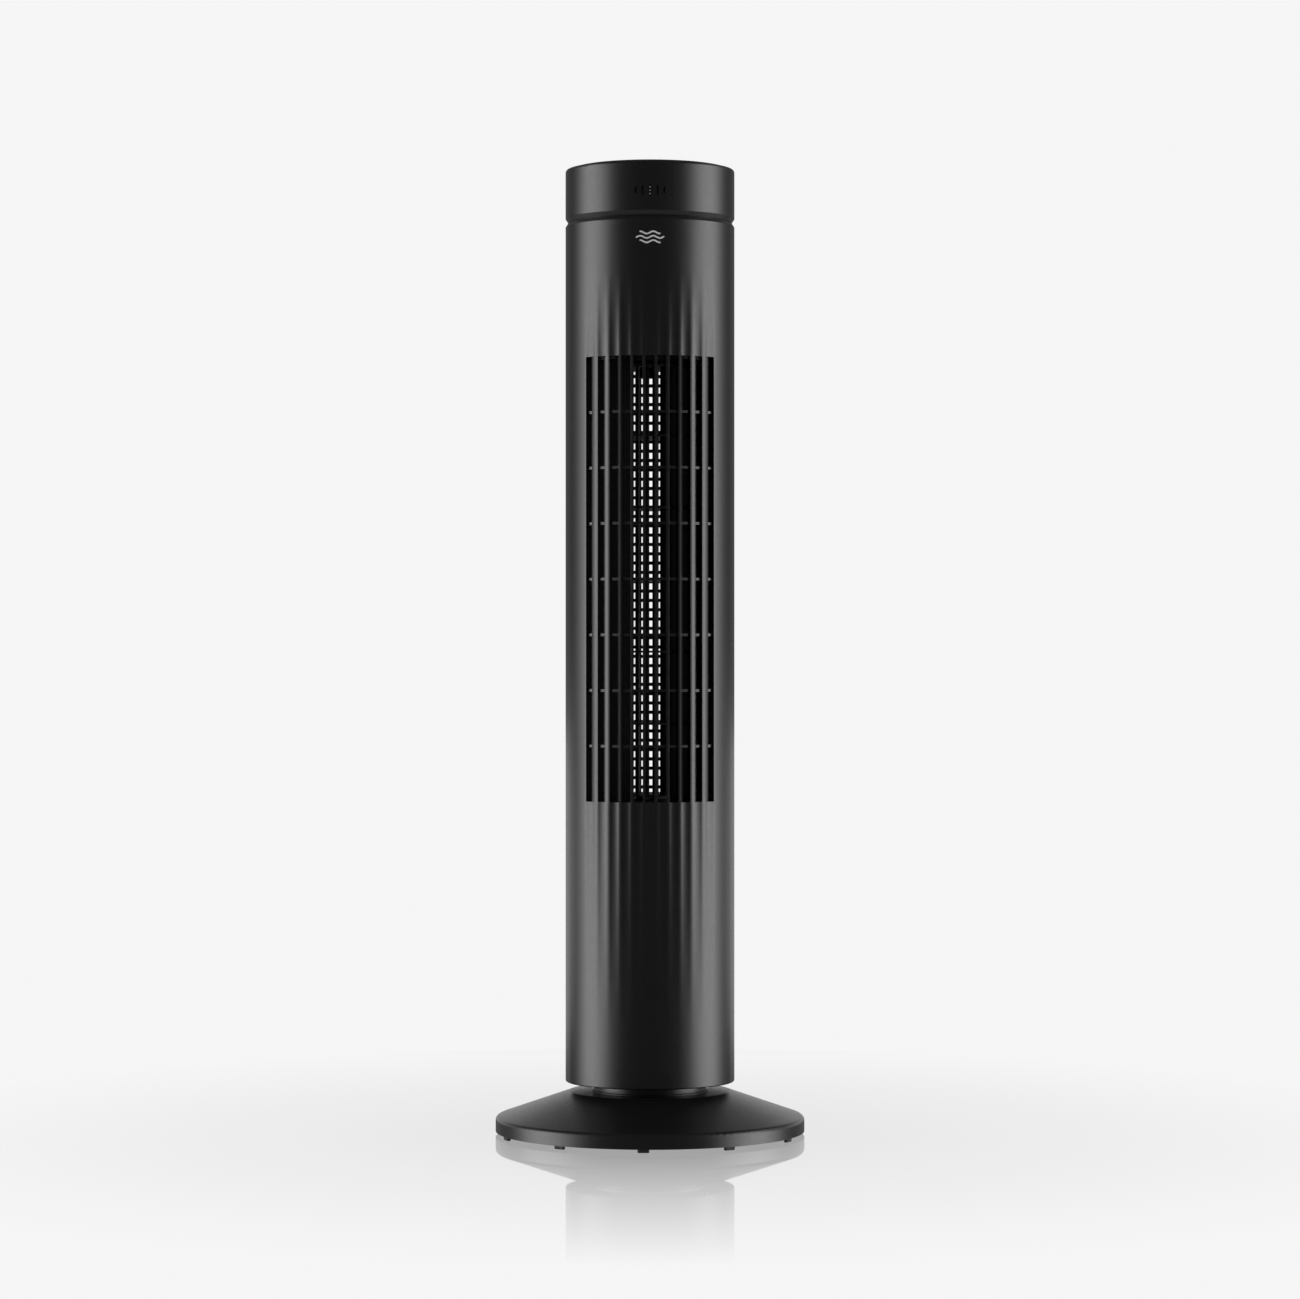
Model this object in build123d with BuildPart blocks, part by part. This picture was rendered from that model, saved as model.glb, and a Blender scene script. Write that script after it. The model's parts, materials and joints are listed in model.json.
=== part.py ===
from build123d import *
import math
import os

# Tower fan: a round column on a weighted disc base. The column swings on the base, a crossflow
# impeller turns inside it, and five push buttons sit in the panel on top.
# Millimetres. +Z is up, the front faces -Y, the origin is the floor centre under the base.

os.makedirs("parts", exist_ok=True)

# ---------------------------------------------------------------- driving dimensions
WALL = 2.7
TOWER_RADIUS = 66.5
TOWER_INSIDE = TOWER_RADIUS - WALL
TOWER_BOTTOM = 41.4
TOWER_TOP = 716.2
GROOVE_DEPTH = 2.1
GROOVE_HALF = 3.3
PARTING_Y = -22.7
CASE_FIT = 0.2

BASE_RADIUS = 121.5
BASE_TOP = 34.0
BASE_SLOPE = 0.35
RIM_CORNER = 13.6
CONE_TOP_ROUND = 55.0
FOOT_HEIGHT = 2.5
FOOT_WIDTH = 9.0
FOOT_DEPTH = 3.2
FOOT_RING = 119.6
FOOT_COUNT = 11
FOOT_TURN = -92.4

WINDOW_HALF_WIDTH = 49.6
WINDOW_BOTTOM = 263.0
WINDOW_TOP = 608.0
SLOT_PITCH = 9.2
VANE_WIDTH = 2.0
VANE_COUNT = 10
VANE_DEPTH = 6.0
VANE_TURN_RATE = 1.05
VANE_TURN_LIMIT = 27.5
BAR_COUNT = 7

IMPELLER_X = -2.5
IMPELLER_Y = 8.0
IMPELLER_RADIUS = 35.0
IMPELLER_BOTTOM = 265.7
SEGMENT_HEIGHT = 56.4
SEGMENT_COUNT = 6
SEGMENT_DISC = 1.6
BLADE_COUNT = 28
BLADE_THICKNESS = 0.9
SHAFT_RADIUS = 3.0
SHAFT_FIT = 0.05
PRESS_FIT = 0.02

DUCT_PLATE = 3.0
DUCT_FLOOR_TOP = 263.0
DUCT_CEILING = 606.3
DUCT_WALL = 2.0
PLATE_FRONT_RADIUS = 55.4

POST_RADIUS = 12.0
POST_BORE = 8.0
POST_TOP = 62.0
HUB_FIT = 0.06
COLLAR_RADIUS = 44.5
COLLAR_TOP = 40.2
FLOOR_BOTTOM = 42.4
FLOOR_TOP = 45.4
HUB_TOP = 56.0

CRANK_Y = 34.0
CRANK_THROW = 19.5
CRANK_PIN_RADIUS = 2.5
YOKE_THICKNESS = 3.0
YOKE_SLOT_WIDTH = 8.0
CRANK_BOTTOM = 67.0
CRANK_TOP = 70.0
BRACKET_BOTTOM = 72.0
BRACKET_TOP = 74.0

HEAD_BOTTOM = 716.5
HEAD_TOP = 758.3
HEAD_FLOOR_TOP = 719.5
HEAD_INSIDE = 62.0
PANEL_RADIUS = 60.4
PANEL_BOTTOM = 756.6
PANEL_TOP = 759.6
BUTTON_RADIUS = 5.0
BUTTON_TOP = 760.0
BUTTON_Y = -14.0
BUTTON_XS = {"power": -34.0, "speed": -17.0, "mode": 0.0, "timer": 17.0, "swing": 34.0}
BOARD_BOTTOM = 744.0
BOARD_TOP = 745.6

STATOR_BOTTOM = 190.0
STATOR_TOP = 215.0
STATOR_WIDTH = 66.0
MOTOR_BOLT = 28.0

IMPELLER_AXIS = (IMPELLER_X, IMPELLER_Y)
button_points = [(x, BUTTON_Y) for x in BUTTON_XS.values()]
diagonals = [(sx, sy) for sx in (-1, 1) for sy in (-1, 1)]
motor_bolts = [(IMPELLER_X + sx * MOTOR_BOLT, IMPELLER_Y + sy * MOTOR_BOLT) for sx, sy in diagonals]

SHELL_BOSS_RING = 60.3
SHELL_BOSS_RADIUS = 4.0
shell_bosses = [
    (sx * SHELL_BOSS_RING * math.sqrt(0.5), sy * SHELL_BOSS_RING * math.sqrt(0.5))
    for sx, sy in diagonals
]
SHELL_SCREW_X = 54.0
SHELL_SCREW_TUBE = 4.0
SHELL_SCREW_HEIGHTS = (110.0, 230.0, 640.0, 690.0)
shell_screw_points = [(sx * SHELL_SCREW_X, z) for z in SHELL_SCREW_HEIGHTS for sx in (-1, 1)]


# ---------------------------------------------------------------- shared shapes
def screw_group(points, seat, radius, length, up=1):
    """Pan-head screws: heads on the seat height, shanks running up (1) or down (-1)."""
    head_radius = radius * 1.9
    head_height = radius
    recess = radius * 0.45
    with BuildPart() as group:
        with BuildSketch(Plane.XY.offset(seat)) as heads:
            with Locations(*points):
                Circle(head_radius)
        extrude(heads.sketch, amount=-up * head_height)
        with BuildSketch(Plane.XY.offset(seat)) as shanks:
            with Locations(*points):
                Circle(radius)
        extrude(shanks.sketch, amount=up * length)
        with BuildSketch(Plane.XY.offset(seat - up * head_height)) as drives:
            with Locations(*points):
                Rectangle(head_radius * 1.2, recess)
                Rectangle(recess, head_radius * 1.2)
        extrude(drives.sketch, amount=up * recess, mode=Mode.SUBTRACT)
    return group.part


def column_wall_section():
    """Half section of the column wall: rounded at its foot, sloped back to the groove under the head."""
    with BuildSketch(Plane.XZ) as section:
        with BuildLine():
            Polyline(
                (TOWER_INSIDE, TOWER_BOTTOM),
                (TOWER_RADIUS, TOWER_BOTTOM),
                (TOWER_RADIUS, TOWER_TOP - GROOVE_HALF),
                (TOWER_RADIUS - GROOVE_DEPTH, TOWER_TOP),
                (TOWER_INSIDE, TOWER_TOP),
                close=True,
            )
        make_face()
        outside = section.vertices().group_by(Axis.X)[-1].sort_by(Axis.Y)
        fillet(outside[0], 1.2)
        fillet(outside[-1], 0.8)
    return section.sketch


def shell_boss_sketch(height, radius, front):
    """Circles for the screw bosses of the front or the rear shell, at one height."""
    points = [point for point in shell_bosses if (point[1] < 0) == front]
    with BuildSketch(Plane.XY.offset(height)) as bosses:
        with Locations(*points):
            Circle(radius)
    return bosses.sketch


def duct_plate_sketch(height):
    """Outline of a duct end plate: full width behind the parting line, narrower in front."""
    with BuildSketch(Plane.XY.offset(height)) as outline:
        Circle(TOWER_INSIDE - CASE_FIT)
        with Locations((0, PARTING_Y - TOWER_RADIUS / 2)):
            Rectangle(2 * TOWER_RADIUS, TOWER_RADIUS, mode=Mode.SUBTRACT)
        Circle(PLATE_FRONT_RADIUS)
    return outline.sketch


# ---------------------------------------------------------------- base
CONE_TOP_RADIUS = BASE_RADIUS - (BASE_TOP - RIM_CORNER) / BASE_SLOPE
PLATE_RADIUS = 118.6
PLATE_TOP = 5.0
BALLAST_INNER = 60.0
BALLAST_OUTER = 105.0
BALLAST_TOP = 11.0
BASE_BOSS_RING = 52.0
COLLAR_SCREW_RING = 36.0
POST_FLANGE = 40.0
POST_FLANGE_BOTTOM = BASE_TOP - WALL - 3.0
GLAND_Z = 7.4
GLAND_RADIUS = 3.2
GLAND_BORE = 2.7


def under_cone(radius):
    """Height of the base cone's inner face at a radius."""
    slant = WALL * math.sqrt(1 + BASE_SLOPE**2)
    return RIM_CORNER + (BASE_RADIUS - radius) * BASE_SLOPE - slant


with BuildPart() as base_shell:
    with BuildSketch(Plane.XZ) as base_outside:
        with BuildLine():
            Polyline(
                (0, FOOT_HEIGHT),
                (0, BASE_TOP),
                (CONE_TOP_RADIUS, BASE_TOP),
                (BASE_RADIUS, RIM_CORNER),
                (BASE_RADIUS, FOOT_HEIGHT),
                close=True,
            )
        make_face()
        by_radius = base_outside.vertices().group_by(Axis.X)
        fillet(by_radius[-1].sort_by(Axis.Y)[-1], 3.5)
        fillet(by_radius[-2], CONE_TOP_ROUND)
    revolve(axis=Axis.Z)
    with BuildSketch(Plane.XZ):
        with BuildLine():
            Polyline(
                (0, FOOT_HEIGHT),
                (0, BASE_TOP - WALL),
                (CONE_TOP_RADIUS - 0.5, BASE_TOP - WALL),
                (BASE_RADIUS - WALL, under_cone(BASE_RADIUS - WALL)),
                (BASE_RADIUS - WALL, FOOT_HEIGHT),
                close=True,
            )
        make_face()
    revolve(axis=Axis.Z, mode=Mode.SUBTRACT)
    # ribs that hold the ballast ring down
    for turn in range(15, 375, 60):
        with BuildSketch(Plane.XZ.rotated((0, 0, turn))):
            with BuildLine():
                Polyline(
                    (BALLAST_INNER + 2, BALLAST_TOP),
                    (BALLAST_OUTER - 2, BALLAST_TOP),
                    (BALLAST_OUTER - 2, under_cone(BALLAST_OUTER - 2) + 0.8),
                    (CONE_TOP_RADIUS, BASE_TOP - WALL + 0.8),
                    (BALLAST_INNER + 2, BASE_TOP - WALL + 0.8),
                    close=True,
                )
            make_face()
        extrude(amount=1.0, both=True)
    # screw bosses for the bottom plate
    with BuildSketch(Plane.XY.offset(PLATE_TOP)):
        with PolarLocations(BASE_BOSS_RING, 6):
            Circle(4.5)
    extrude(amount=BASE_TOP - WALL - PLATE_TOP + 0.8)
    with BuildSketch(Plane.XY.offset(PLATE_TOP)):
        with PolarLocations(BASE_BOSS_RING, 6):
            Circle(1.5)
    extrude(amount=14, mode=Mode.SUBTRACT)
    # holes for the pivot post, the collar screws and the cord gland
    with BuildSketch(Plane.XY.offset(BASE_TOP)):
        Circle(POST_RADIUS + 0.3)
        with PolarLocations(COLLAR_SCREW_RING, 4, start_angle=45):
            Circle(1.8)
    extrude(amount=-WALL, mode=Mode.SUBTRACT)
    with BuildSketch(Plane.XZ.offset(-BASE_RADIUS)):
        with Locations((0, GLAND_Z)):
            Circle(GLAND_RADIUS + 0.1)
    extrude(amount=WALL * 2, mode=Mode.SUBTRACT)
base_shell.part.label = "base_shell"
export_step(base_shell.part, "parts/base_shell.step")

with BuildPart() as base_plate:
    with BuildSketch(Plane.XY.offset(FOOT_HEIGHT)):
        Circle(PLATE_RADIUS)
        with PolarLocations(BASE_BOSS_RING, 6):
            Circle(1.8, mode=Mode.SUBTRACT)
        with Locations((0, PLATE_RADIUS - 4)):
            Rectangle(11, 9, mode=Mode.SUBTRACT)
    extrude(amount=PLATE_TOP - FOOT_HEIGHT)
    with BuildSketch(Plane.XY.offset(FOOT_HEIGHT)):
        with PolarLocations(BASE_BOSS_RING, 6):
            Circle(3.2)
    extrude(amount=1.6, mode=Mode.SUBTRACT)
base_plate.part.label = "base_plate"
export_step(base_plate.part, "parts/base_plate.step")

with BuildPart() as base_ballast:
    with BuildSketch(Plane.XY.offset(PLATE_TOP)):
        Circle(BALLAST_OUTER)
        Circle(BALLAST_INNER, mode=Mode.SUBTRACT)
    extrude(amount=BALLAST_TOP - PLATE_TOP)
    chamfer(base_ballast.edges().group_by(Axis.Z)[-1], 0.6)
base_ballast.part.label = "base_ballast"
export_step(base_ballast.part, "parts/base_ballast.step")

with BuildPart() as rubber_feet:
    with BuildSketch(Plane.XY):
        with PolarLocations(FOOT_RING, FOOT_COUNT, start_angle=FOOT_TURN):
            RectangleRounded(FOOT_DEPTH, FOOT_WIDTH, 1.2)
    extrude(amount=FOOT_HEIGHT)
    chamfer(rubber_feet.edges().group_by(Axis.Z)[0], 0.4)
rubber_feet.part.label = "rubber_feet"
export_step(rubber_feet.part, "parts/rubber_feet.step")

plate_screw_points = [
    (BASE_BOSS_RING * math.cos(math.radians(turn)), BASE_BOSS_RING * math.sin(math.radians(turn)))
    for turn in range(0, 360, 60)
]
base_plate_screws = screw_group(plate_screw_points, FOOT_HEIGHT + 1.6, 1.45, 14)
base_plate_screws.label = "base_plate_screws"
export_step(base_plate_screws, "parts/base_plate_screws.step")

with BuildPart() as cord_gland:
    with BuildSketch(Plane.XZ.offset(-(BASE_RADIUS - 0.3))):
        with Locations((0, GLAND_Z)):
            Circle(GLAND_RADIUS)
    extrude(amount=9)
    with BuildSketch(Plane.XZ.offset(-(BASE_RADIUS - WALL - 0.3))):
        with Locations((0, GLAND_Z)):
            Circle(GLAND_RADIUS + 1.2)
    extrude(amount=2)
    with BuildSketch(Plane.XZ.offset(-BASE_RADIUS)):
        with Locations((0, GLAND_Z)):
            Circle(GLAND_BORE)
    extrude(amount=12, mode=Mode.SUBTRACT)
cord_gland.part.label = "cord_gland"
export_step(cord_gland.part, "parts/cord_gland.step")

# ---------------------------------------------------------------- pivot
with BuildPart() as pivot_collar:
    with BuildSketch(Plane.XZ) as collar_section:
        with BuildLine():
            Polyline(
                (POST_RADIUS + 0.3, BASE_TOP),
                (COLLAR_RADIUS + 1.2, BASE_TOP),
                (COLLAR_RADIUS + 1.2, BASE_TOP + 0.8),
                (COLLAR_RADIUS, BASE_TOP + 1.2),
                (COLLAR_RADIUS, COLLAR_TOP),
                (30, COLLAR_TOP),
                (29, BASE_TOP + 3),
                (POST_RADIUS + 0.3, BASE_TOP + 3),
                close=True,
            )
        make_face()
    revolve(axis=Axis.Z)
    with BuildSketch(Plane.XY.offset(BASE_TOP)):
        with PolarLocations(COLLAR_SCREW_RING, 4, start_angle=45):
            Circle(1.55)
    extrude(amount=5.2, mode=Mode.SUBTRACT)
pivot_collar.part.label = "pivot_collar"
export_step(pivot_collar.part, "parts/pivot_collar.step")

YOKE_SCREW_RING = 10.0
YOKE_SCREW_TURNS = (30, 150, 270)
yoke_screw_points = [
    (YOKE_SCREW_RING * math.cos(math.radians(turn)), YOKE_SCREW_RING * math.sin(math.radians(turn)))
    for turn in YOKE_SCREW_TURNS
]

with BuildPart() as pivot_post:
    with BuildSketch(Plane.XY.offset(POST_FLANGE_BOTTOM)):
        Circle(POST_FLANGE)
        with PolarLocations(COLLAR_SCREW_RING, 4, start_angle=45):
            Circle(1.8, mode=Mode.SUBTRACT)
    extrude(amount=3)
    with BuildSketch(Plane.XY.offset(POST_FLANGE_BOTTOM)):
        Circle(POST_RADIUS)
    extrude(amount=POST_TOP - POST_FLANGE_BOTTOM)
    with BuildSketch(Plane.XY.offset(POST_FLANGE_BOTTOM)):
        Circle(POST_BORE)
    extrude(amount=POST_TOP - POST_FLANGE_BOTTOM, mode=Mode.SUBTRACT)
    with BuildSketch(Plane.XY.offset(POST_TOP)):
        with Locations(*yoke_screw_points):
            Circle(1.25)
    extrude(amount=-7, mode=Mode.SUBTRACT)
pivot_post.part.label = "pivot_post"
export_step(pivot_post.part, "parts/pivot_post.step")

collar_screw_points = [
    (sx * COLLAR_SCREW_RING * math.sqrt(0.5), sy * COLLAR_SCREW_RING * math.sqrt(0.5))
    for sx, sy in diagonals
]
with BuildPart() as turntable_slip_ring:
    with BuildSketch(Plane.XY.offset(COLLAR_TOP)):
        Circle(43)
        Circle(31, mode=Mode.SUBTRACT)
    extrude(amount=FLOOR_BOTTOM - COLLAR_TOP - 0.3)
    chamfer(turntable_slip_ring.edges().group_by(Axis.Z)[-1], 0.4)
turntable_slip_ring.part.label = "turntable_slip_ring"
export_step(turntable_slip_ring.part, "parts/turntable_slip_ring.step")

with BuildPart() as pivot_nut:
    with BuildSketch(Plane.XY.offset(HUB_TOP + 0.3)):
        RegularPolygon(radius=19, side_count=6)
        Circle(POST_RADIUS + PRESS_FIT, mode=Mode.SUBTRACT)
    extrude(amount=4)
pivot_nut.part.label = "pivot_nut"
export_step(pivot_nut.part, "parts/pivot_nut.step")

# the yoke is fixed to the post; the crank pin runs in its slot and so drives the column round
YOKE_SLOT_START = CRANK_Y - CRANK_THROW - CRANK_PIN_RADIUS
YOKE_SLOT_END = CRANK_Y + CRANK_THROW + CRANK_PIN_RADIUS + 0.8
with BuildPart() as swing_yoke:
    with BuildSketch(Plane.XY.offset(POST_TOP)):
        Circle(POST_RADIUS + 0.5)
        with Locations((0, (YOKE_SLOT_END + 3.4) / 2)):
            Rectangle(2 * YOKE_SLOT_WIDTH, YOKE_SLOT_END + 3.4)
        Circle(POST_BORE, mode=Mode.SUBTRACT)
        with Locations((0, (YOKE_SLOT_START + YOKE_SLOT_END) / 2)):
            Rectangle(YOKE_SLOT_WIDTH, YOKE_SLOT_END - YOKE_SLOT_START, mode=Mode.SUBTRACT)
        with Locations(*yoke_screw_points):
            Circle(1.35, mode=Mode.SUBTRACT)
    extrude(amount=YOKE_THICKNESS)
swing_yoke.part.label = "swing_yoke"
export_step(swing_yoke.part, "parts/swing_yoke.step")

with BuildPart() as pivot_screws:
    add(screw_group(collar_screw_points, POST_FLANGE_BOTTOM, 1.2, 9.5))
    add(screw_group(yoke_screw_points, POST_TOP + YOKE_THICKNESS, 1.2, 9.5, up=-1))
pivot_screws.part.label = "pivot_screws"
export_step(pivot_screws.part, "parts/pivot_screws.step")

# ---------------------------------------------------------------- turntable floor of the column
BRACKET_POSTS = [(-50, 18), (50, 18)]
with BuildPart() as tower_floor:
    with BuildSketch(Plane.XY.offset(FLOOR_BOTTOM)):
        Circle(TOWER_INSIDE - CASE_FIT)
    extrude(amount=FLOOR_TOP - FLOOR_BOTTOM)
    with BuildSketch(Plane.XY.offset(FLOOR_TOP)):
        Circle(18)
    extrude(amount=HUB_TOP - FLOOR_TOP)
    with BuildSketch(Plane.XY.offset(FLOOR_TOP)):
        with Locations(*BRACKET_POSTS):
            Circle(5)
    extrude(amount=BRACKET_BOTTOM - FLOOR_TOP)
    with BuildSketch(Plane.XY.offset(BRACKET_BOTTOM)):
        with Locations(*BRACKET_POSTS):
            Circle(1.55)
    extrude(amount=-14, mode=Mode.SUBTRACT)
    with BuildSketch(Plane.XY.offset(FLOOR_BOTTOM)):
        Circle(POST_RADIUS + HUB_FIT)
        with Locations(*shell_bosses):
            Circle(1.8)
    extrude(amount=HUB_TOP - FLOOR_BOTTOM, mode=Mode.SUBTRACT)
tower_floor.part.label = "tower_floor"
export_step(tower_floor.part, "parts/tower_floor.step")

# ---------------------------------------------------------------- column shells
SILL = 2.5
JAMB_FRONT = -44.0
JAMB_BACK = -36.5
BAR_HEIGHT = 2.1
BAR_FRONT_RADIUS = 64.5
BAR_BACK_RADIUS = 60.5
BOSS_BASE_END = 60.0
BOSS_HEAD_START = 697.0
window_height = WINDOW_TOP - WINDOW_BOTTOM
window_middle = (WINDOW_TOP + WINDOW_BOTTOM) / 2
vane_xs = [(index - (VANE_COUNT - 1) / 2) * SLOT_PITCH for index in range(VANE_COUNT)]


def vane_point(x, side, along):
    """A point on one side of the vane at x, so far along its slant from the column's surface."""
    edge_x = x + side * VANE_WIDTH / 2
    past_centre = abs(x) - SLOT_PITCH / 2
    slant = math.radians(min(VANE_TURN_RATE * past_centre, VANE_TURN_LIMIT))
    front_y = -math.sqrt(TOWER_RADIUS**2 - edge_x**2)
    return (edge_x + math.copysign(along * math.sin(slant), x), front_y + along * math.cos(slant))


with BuildPart() as front_shell:
    # bosses for the rear shell's screws, trimmed to end inside the wall
    with BuildSketch(Plane.XZ.offset(-PARTING_Y)) as side_bosses:
        with Locations(*shell_screw_points):
            Circle(SHELL_SCREW_TUBE)
    extrude(side_bosses.sketch, amount=15)
    with BuildSketch(Plane.XY) as inside_wall:
        Circle(TOWER_INSIDE + 1)
    extrude(inside_wall.sketch, amount=TOWER_TOP, mode=Mode.INTERSECT)
    revolve(column_wall_section(), axis=Axis.Z)
    split(bisect_by=Plane.XZ.offset(-PARTING_Y), keep=Keep.TOP)
    with BuildSketch(Plane.XZ) as window:
        with Locations((0, window_middle)):
            Rectangle(2 * WINDOW_HALF_WIDTH, window_height)
    extrude(window.sketch, amount=TOWER_RADIUS + 1, mode=Mode.SUBTRACT)
    # guide vanes, their fronts on the column's surface and their backs turned out towards the sides
    with BuildSketch(Plane.XY.offset(WINDOW_BOTTOM - 1)) as vanes:
        for x in vane_xs:
            with BuildLine():
                Polyline(
                    vane_point(x, -1, -1),
                    vane_point(x, 1, -1),
                    vane_point(x, 1, VANE_DEPTH),
                    vane_point(x, -1, VANE_DEPTH),
                    close=True,
                )
            make_face()
        Circle(TOWER_RADIUS, mode=Mode.INTERSECT)
    extrude(vanes.sketch, amount=window_height + 2)
    # cross bars behind the vane fronts
    bar_pitch = window_height / (BAR_COUNT + 1)
    for index in range(BAR_COUNT):
        bar_z = WINDOW_BOTTOM + (index + 1) * bar_pitch - BAR_HEIGHT / 2
        with BuildSketch(Plane.XY.offset(bar_z)) as bar:
            Circle(BAR_FRONT_RADIUS)
            Circle(BAR_BACK_RADIUS, mode=Mode.SUBTRACT)
            with Locations((0, JAMB_BACK - TOWER_RADIUS / 2)):
                Rectangle(2 * WINDOW_HALF_WIDTH + 2, TOWER_RADIUS, mode=Mode.INTERSECT)
        extrude(bar.sketch, amount=BAR_HEIGHT)
    # sills above and below the window, and jambs beside it
    for sill_z in (WINDOW_BOTTOM - SILL, WINDOW_TOP):
        with BuildSketch(Plane.XY.offset(sill_z)) as sill:
            Circle(BAR_FRONT_RADIUS)
            Circle(PLATE_FRONT_RADIUS + CASE_FIT, mode=Mode.SUBTRACT)
            with Locations((0, -TOWER_RADIUS / 2 + PARTING_Y)):
                Rectangle(2 * WINDOW_HALF_WIDTH + 4, TOWER_RADIUS, mode=Mode.INTERSECT)
        extrude(sill.sketch, amount=SILL)
    with BuildSketch(Plane.XY.offset(WINDOW_BOTTOM - SILL)) as jambs:
        with Locations(
            (-WINDOW_HALF_WIDTH - 1, (JAMB_FRONT + JAMB_BACK) / 2),
            (WINDOW_HALF_WIDTH + 1, (JAMB_FRONT + JAMB_BACK) / 2),
        ):
            Rectangle(2, JAMB_BACK - JAMB_FRONT)
        Circle(BAR_FRONT_RADIUS, mode=Mode.INTERSECT)
    extrude(jambs.sketch, amount=window_height + 2 * SILL)
    # bosses for the floor screws and the head screws
    extrude(shell_boss_sketch(FLOOR_TOP, SHELL_BOSS_RADIUS, True), amount=BOSS_BASE_END - FLOOR_TOP)
    extrude(shell_boss_sketch(BOSS_HEAD_START, SHELL_BOSS_RADIUS, True), amount=HEAD_BOTTOM - BOSS_HEAD_START)
    extrude(shell_boss_sketch(FLOOR_TOP, 1.5, True), amount=13, mode=Mode.SUBTRACT)
    extrude(shell_boss_sketch(HEAD_BOTTOM, 1.5, True), amount=-13, mode=Mode.SUBTRACT)
    with BuildSketch(Plane.XZ.offset(-PARTING_Y)) as side_pilots:
        with Locations(*shell_screw_points):
            Circle(1.5)
    extrude(side_pilots.sketch, amount=7, mode=Mode.SUBTRACT)
front_shell.part.label = "front_shell"
export_step(front_shell.part, "parts/front_shell.step")

INTAKE_PITCH = 7.5
INTAKE_SLOT = 4.8
INTAKE_ROWS = 46
INTAKE_HALF_CENTRE = 17.2
INTAKE_SIDE_INNER = 20.5
INTAKE_SIDE_OUTER = 49.0
SCREW_SEAT_Y = -12.0
intake_side_x = (INTAKE_SIDE_INNER + INTAKE_SIDE_OUTER) / 2

with BuildPart() as rear_shell:
    # deep screw tubes from the back to the parting line, trimmed to end inside the wall
    with BuildSketch(Plane.XZ.offset(-PARTING_Y)) as tubes:
        with Locations(*shell_screw_points):
            Circle(SHELL_SCREW_TUBE)
    extrude(tubes.sketch, amount=-TOWER_RADIUS)
    with BuildSketch(Plane.XY) as inside_wall:
        Circle(TOWER_INSIDE + 1)
    extrude(inside_wall.sketch, amount=TOWER_TOP, mode=Mode.INTERSECT)
    revolve(column_wall_section(), axis=Axis.Z)
    split(bisect_by=Plane.XZ.offset(-PARTING_Y), keep=Keep.BOTTOM)
    extrude(shell_boss_sketch(FLOOR_TOP, SHELL_BOSS_RADIUS, False), amount=BOSS_BASE_END - FLOOR_TOP)
    extrude(shell_boss_sketch(BOSS_HEAD_START, SHELL_BOSS_RADIUS, False), amount=HEAD_BOTTOM - BOSS_HEAD_START)
    extrude(shell_boss_sketch(FLOOR_TOP, 1.5, False), amount=13, mode=Mode.SUBTRACT)
    extrude(shell_boss_sketch(HEAD_BOTTOM, 1.5, False), amount=-13, mode=Mode.SUBTRACT)
    with BuildSketch(Plane.XZ.offset(-PARTING_Y)) as tube_holes:
        with Locations(*shell_screw_points):
            Circle(1.7)
    extrude(tube_holes.sketch, amount=-TOWER_RADIUS, mode=Mode.SUBTRACT)
    with BuildSketch(Plane.XZ.offset(-SCREW_SEAT_Y)) as tube_counterbores:
        with Locations(*shell_screw_points):
            Circle(3.1)
    extrude(tube_counterbores.sketch, amount=-TOWER_RADIUS, mode=Mode.SUBTRACT)
    # intake grille: three columns of slots, drawn straight back
    with BuildSketch(Plane.XZ) as intake:
        with Locations((0, window_middle)):
            with GridLocations(0, INTAKE_PITCH, 1, INTAKE_ROWS):
                Rectangle(2 * INTAKE_HALF_CENTRE, INTAKE_SLOT)
        with Locations((-intake_side_x, window_middle), (intake_side_x, window_middle)):
            with GridLocations(0, INTAKE_PITCH, 1, INTAKE_ROWS):
                Rectangle(INTAKE_SIDE_OUTER - INTAKE_SIDE_INNER, INTAKE_SLOT)
    extrude(intake.sketch, amount=-(TOWER_RADIUS + 1), mode=Mode.SUBTRACT)
rear_shell.part.label = "rear_shell"
export_step(rear_shell.part, "parts/rear_shell.step")

with BuildPart() as shell_screws:
    with BuildSketch(Plane.XZ.offset(-SCREW_SEAT_Y)) as screw_heads:
        with Locations(*shell_screw_points):
            Circle(2.8)
    extrude(screw_heads.sketch, amount=-1.6)
    with BuildSketch(Plane.XZ.offset(-SCREW_SEAT_Y)) as screw_shanks:
        with Locations(*shell_screw_points):
            Circle(1.45)
    extrude(screw_shanks.sketch, amount=17)
    with BuildSketch(Plane.XZ.offset(-SCREW_SEAT_Y - 1.6)) as screw_drives:
        with Locations(*shell_screw_points):
            Rectangle(3.4, 0.7)
            Rectangle(0.7, 3.4)
    extrude(screw_drives.sketch, amount=0.8, mode=Mode.SUBTRACT)
shell_screws.part.label = "shell_screws"
export_step(shell_screws.part, "parts/shell_screws.step")

# ---------------------------------------------------------------- air duct
duct_height = DUCT_CEILING - DUCT_FLOOR_TOP

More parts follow.
